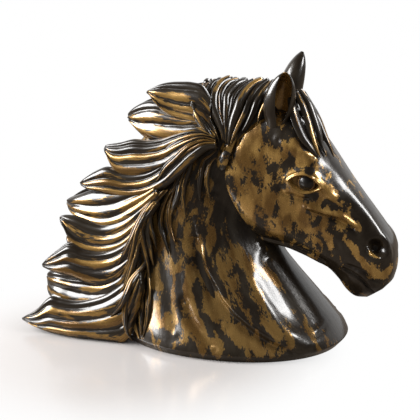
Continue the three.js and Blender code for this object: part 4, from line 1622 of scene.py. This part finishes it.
@dataclass
class Casting:
    """The neck, head, eyes and ears."""

    neck: Neck = field(default_factory=Neck)
    head: Head = field(default_factory=Head)
    ear_right: Ear = field(default_factory=lambda: Ear((78, -23, 209), (89, -29, 273), (0.5, -0.85, 0.05)))
    ear_left: Ear = field(default_factory=lambda: Ear((80, 12, 214), (91.5, 26, 285), (0.80, 0.45, 0.05), 14.0))
    head_patina: Patina = Patina(
        "bronze_head", lean=0.015, gold=(0.360, 0.210, 0.060, 1.0), amber=(0.150, 0.078, 0.019, 1.0)
    )
    neck_patina: Patina = Patina("bronze_neck", lean=-0.005, gold=(0.200, 0.116, 0.034, 1.0))
    eye_glaze: EyeGlaze = EyeGlaze()

    def build(self) -> None:
        """Makes the pieces and dresses them."""
        bronze, deep, eye = (k.material() for k in (self.head_patina, self.neck_patina, self.eye_glaze))
        show("neck", [self.neck.skin()], deep, "bronze", "neck_shell")
        show("head", [self.head.skin()], bronze, "bronze", "head_shell")
        for side in Side:
            label = side.name.lower()
            show(f"eye_ball_{label}", [Eye(self.head, side).skin()], eye, "eye", f"eye_{label}")
        show("ear_near", [self.ear_right.skin()], bronze, "bronze", "ear_right")
        show("ear_far", [self.ear_left.skin()], bronze, "bronze", "ear_left")


@dataclass
class Hair:
    """All the hair: the mane's core and locks, the poll, the forelock and the flanks."""

    mane: Mane = field(default_factory=Mane)
    crest: Crest = field(default_factory=Crest)
    forelock: Forelock = field(default_factory=Forelock)
    flank: Flank = field(default_factory=Flank)
    mane_patina: Patina = Patina("bronze_mane", lean=-0.05, patch=8.0)
    poll_patina: Patina = Patina("bronze_poll", lean=-0.09, patch=9.0)

    def build(self) -> None:
        """Makes the pieces and dresses them. The numbers given to skin are seeds, no two the same."""
        mane, gold, poll = self.mane, self.mane_patina.material(), self.poll_patina.material()
        show("mane_body", mane.body_skins(), gold, "mane", "mane_core")
        show("mane_lock_top", [mane.top.skin(7), far_lock(mane.top).skin(27)], gold, "mane", "mane_lock_middle")
        for i, (one, shift) in enumerate(zip(mane.right, mane.left_shifts)):
            other = far_lock(one, shift)
            show(f"mane_near_{i + 1}", [one.skin(i)], gold, "mane", f"mane_lock_right_{i + 1}")
            show(f"mane_far_{i + 1}", [other.skin(20 + i)], gold, "mane", f"mane_lock_left_{i + 1}")
        show("poll_hair", self.crest.skins(), poll, "mane", "crest_hair")
        forelock = [k.skin(90 + i) for i, k in enumerate(self.forelock.strands())]
        show("forehead_hair", forelock, poll, "mane", "forelock")
        near = [k.skin(110 + i) for i, k in enumerate(self.flank.strands())]
        far = [far_strand(k).skin(130 + i) for i, k in enumerate(self.flank.strands())]
        show("flank_strands_near", near, gold, "mane", "flank_hair_right")
        show("flank_strands_far", far, gold, "mane", "flank_hair_left")


@dataclass
class Underside:
    """The closing plate, its four screws and the felt under it."""

    neck: Neck
    inset: float = 5.7
    felt_top: float = 2.3
    edge: float = 0.8
    screws: int = 4

    def felt_skin(self) -> Skin:
        """The felt: the rim's outline inset, flat, with its edges rounded by quarter circles.

        Rings run from the middle of the underside out to the edge, and over it back to the middle of the top.

        Returns:
            One closed skin.
        """
        angle = full_turn(300)
        bend = np.linspace(0.0, np.pi / 2, 6)
        shares = np.linspace(0.02, 1.0, 30)[:-1]
        inset, edge, top = -self.inset - self.edge, self.edge, self.felt_top
        rows = [(inset, share, 0.0) for share in shares]
        rows += [(inset + edge * np.sin(b), 1.0, edge * (1 - np.cos(b))) for b in bend]
        rows += [(inset + edge * np.cos(b), 1.0, top - edge * (1 - np.sin(b))) for b in bend]
        rows += [(inset, share, top) for share in shares[::-1]]
        rings = []
        for grow, share, z in rows:
            ring = self.neck.grid(np.array([0.0]), angle, grow)[0]
            middle = ring.mean(0)
            ring = middle + (ring - middle) * share
            ring[:, 2] = z
            rings.append(ring)
        rings = np.array(rings)
        return closed_skin(rings, rings[0].mean(0), rings[-1].mean(0), rings, np.zeros(rings.shape[:2]))

    def build(self) -> None:
        """Makes the felt and dresses the plate and screws."""
        show("felt_sheet", [self.felt_skin()], WoolFelt().material(), "felt", "felt_pad")
        paint, zinc = BlackSheet().material(), Zinc().material()
        dress("closing_plate", paint)
        for k in range(1, self.screws + 1):
            dress(f"plate_screw_{k}", zinc)


# ---------------------------------------------------------------- studio

WHITE: Colour = (1.0, 1.0, 1.0, 1.0)
# the table as the camera sees it
PALE: Colour = (0.33, 0.312, 0.303, 1.0)
# and as the bust sees it, so that its dark flanks stay dark
GREY: Colour = (0.20, 0.165, 0.135, 1.0)


@dataclass
class Studio:
    """The pale floor, the white room, its soft lights and the camera."""

    azimuth: float = math.radians(18.0)
    elevation: float = math.radians(15.0)
    distance: float = 1.5
    half_view: float = 0.210
    sensor: float = 36.0
    target: Point = (0.005, 0.0, 0.125)
    # what the lights are turned to
    heart: Point = (0.0, 0.0, 0.12)
    # half the table's side
    reach: float = 4.0
    # middle of the part of the table that takes shade and reflections, and where it starts and ends going white
    shade_centre: Point = (-0.06, -0.08, 0.0)
    shade_reach: tuple[float, float] = (0.09, 0.23)
    # the room in reflections: heights of the fade (sine of the elevation), and its strengths below and above
    room_fade: tuple[float, float, float, float] = (0.1, 0.85, 0.035, 0.8)
    # each light: where it stands, its width and height in metres, and its power in watts
    lights: tuple[tuple[str, Point, float, float, float], ...] = (
        ("left_box", (-1.07, -0.35, 0.66), 0.8, 0.8, 46.0),
        ("right_box", (1.06, -0.02, 0.86), 0.36, 0.42, 13.0),
        ("back_box", (0.45, 0.85, 1.05), 0.7, 0.5, 14.0),
    )

    def camera(self) -> None:
        """Looks at the bust from azimuth and elevation, along -Y and above."""
        target = Vector(self.target)
        back = Vector(
            (
                math.sin(self.azimuth) * math.cos(self.elevation),
                -math.cos(self.azimuth) * math.cos(self.elevation),
                math.sin(self.elevation),
            )
        )
        data = bpy.data.cameras.new("camera")
        data.sensor_width = self.sensor
        data.lens = self.sensor / 2 * self.distance / self.half_view
        camera = bpy.data.objects.new("camera", data)
        camera.location = target + back * self.distance
        camera.rotation_mode = "QUATERNION"
        camera.rotation_quaternion = (-back).to_track_quat("-Z", "Y")
        bpy.context.scene.collection.objects.link(camera)
        bpy.context.scene.camera = camera

    def light(self, name: str, place: Point, width: float, height: float, power: float) -> None:
        """One soft box, turned to the bust.

        Args:
            name: its name.
            place: where it stands, in metres.
            width: its width, in metres.
            height: its height, in metres.
            power: its power, in watts.
        """
        data = bpy.data.lights.new(name, "AREA")
        data.shape = "RECTANGLE"
        data.size, data.size_y, data.energy = width, height, power
        box = bpy.data.objects.new(name, data)
        box.location = place
        box.rotation_mode = "QUATERNION"
        box.rotation_quaternion = (Vector(self.heart) - Vector(place)).to_track_quat("-Z", "Y")
        bpy.context.scene.collection.objects.link(box)

    def world(self) -> None:
        """A white room: white to the camera, and greyer than the lights in reflections."""
        world = bpy.data.worlds.new("studio")
        bpy.context.scene.world = world
        world.use_nodes = True
        tree = world.node_tree
        background = tree.nodes["Background"]
        path = tree.nodes.new("ShaderNodeLightPath")
        place = tree.nodes.new("ShaderNodeTexCoord")
        parts = tree.nodes.new("ShaderNodeSeparateXYZ")
        tree.links.new(place.outputs["Generated"], parts.inputs[0])
        fade = tree.nodes.new("ShaderNodeMapRange")
        fade.interpolation_type = "SMOOTHSTEP"
        for key, value in enumerate(self.room_fade, 1):
            fade.inputs[key].default_value = value
        tree.links.new(parts.outputs["Y"], fade.inputs[0])
        strength = tree.nodes.new("ShaderNodeMix")
        strength.inputs[2].default_value = 1.0
        tree.links.new(path.outputs["Is Glossy Ray"], strength.inputs[0])
        tree.links.new(fade.outputs[0], strength.inputs[3])
        tree.links.new(strength.outputs[0], background.inputs["Strength"])
        background.inputs["Color"].default_value = (1, 1, 1, 1)

    def floor(self) -> None:
        """A wide white table with a soft gloss."""
        n = Nodes("white_table")
        ends = {0: n.place(), 1: self.shade_centre}
        away = n.add("ShaderNodeVectorMath", {"operation": "DISTANCE"}, ends, "Value")
        seen = n.add("ShaderNodeLightPath", {}, {}, "Is Camera Ray")
        glow = n.add("ShaderNodeEmission", {}, {"Color": n.mix(seen, GREY, WHITE), "Strength": 1.0}, "Emission")
        shine = Value(n, n.surface.outputs["BSDF"])
        white = n.step(away, *self.shade_reach)
        both = n.add("ShaderNodeMixShader", {}, {0: white, 1: shine, 2: glow}, "Shader")
        n.tree.links.new(both.socket, n.tree.nodes["Material Output"].inputs["Surface"])
        material = n.finish(Base_Color=n.mix(seen, GREY, PALE), Roughness=0.20, Specular_IOR_Level=0.8)
        mesh = bpy.data.meshes.new("table_top")
        corners = [(x * self.reach, y * self.reach, 0) for x, y in ((-1, -1), (1, -1), (1, 1), (-1, 1))]
        mesh.from_pydata(corners, [], [(0, 1, 2, 3)])
        mesh.materials.append(material)
        floor = bpy.data.objects.new("table_top", mesh)
        bpy.context.scene.collection.objects.link(floor)

    def build(self) -> None:
        """Sets the scene up."""
        bpy.context.scene.view_settings.view_transform = "Standard"
        self.camera()
        self.world()
        self.floor()
        for one in self.lights:
            self.light(*one)


def main() -> None:
    """Builds the bust and its studio."""
    logging.basicConfig(level=logging.INFO)
    Studio().build()
    casting = Casting()
    casting.build()
    Hair().build()
    Underside(casting.neck).build()


if __name__ == "__main__":
    main()
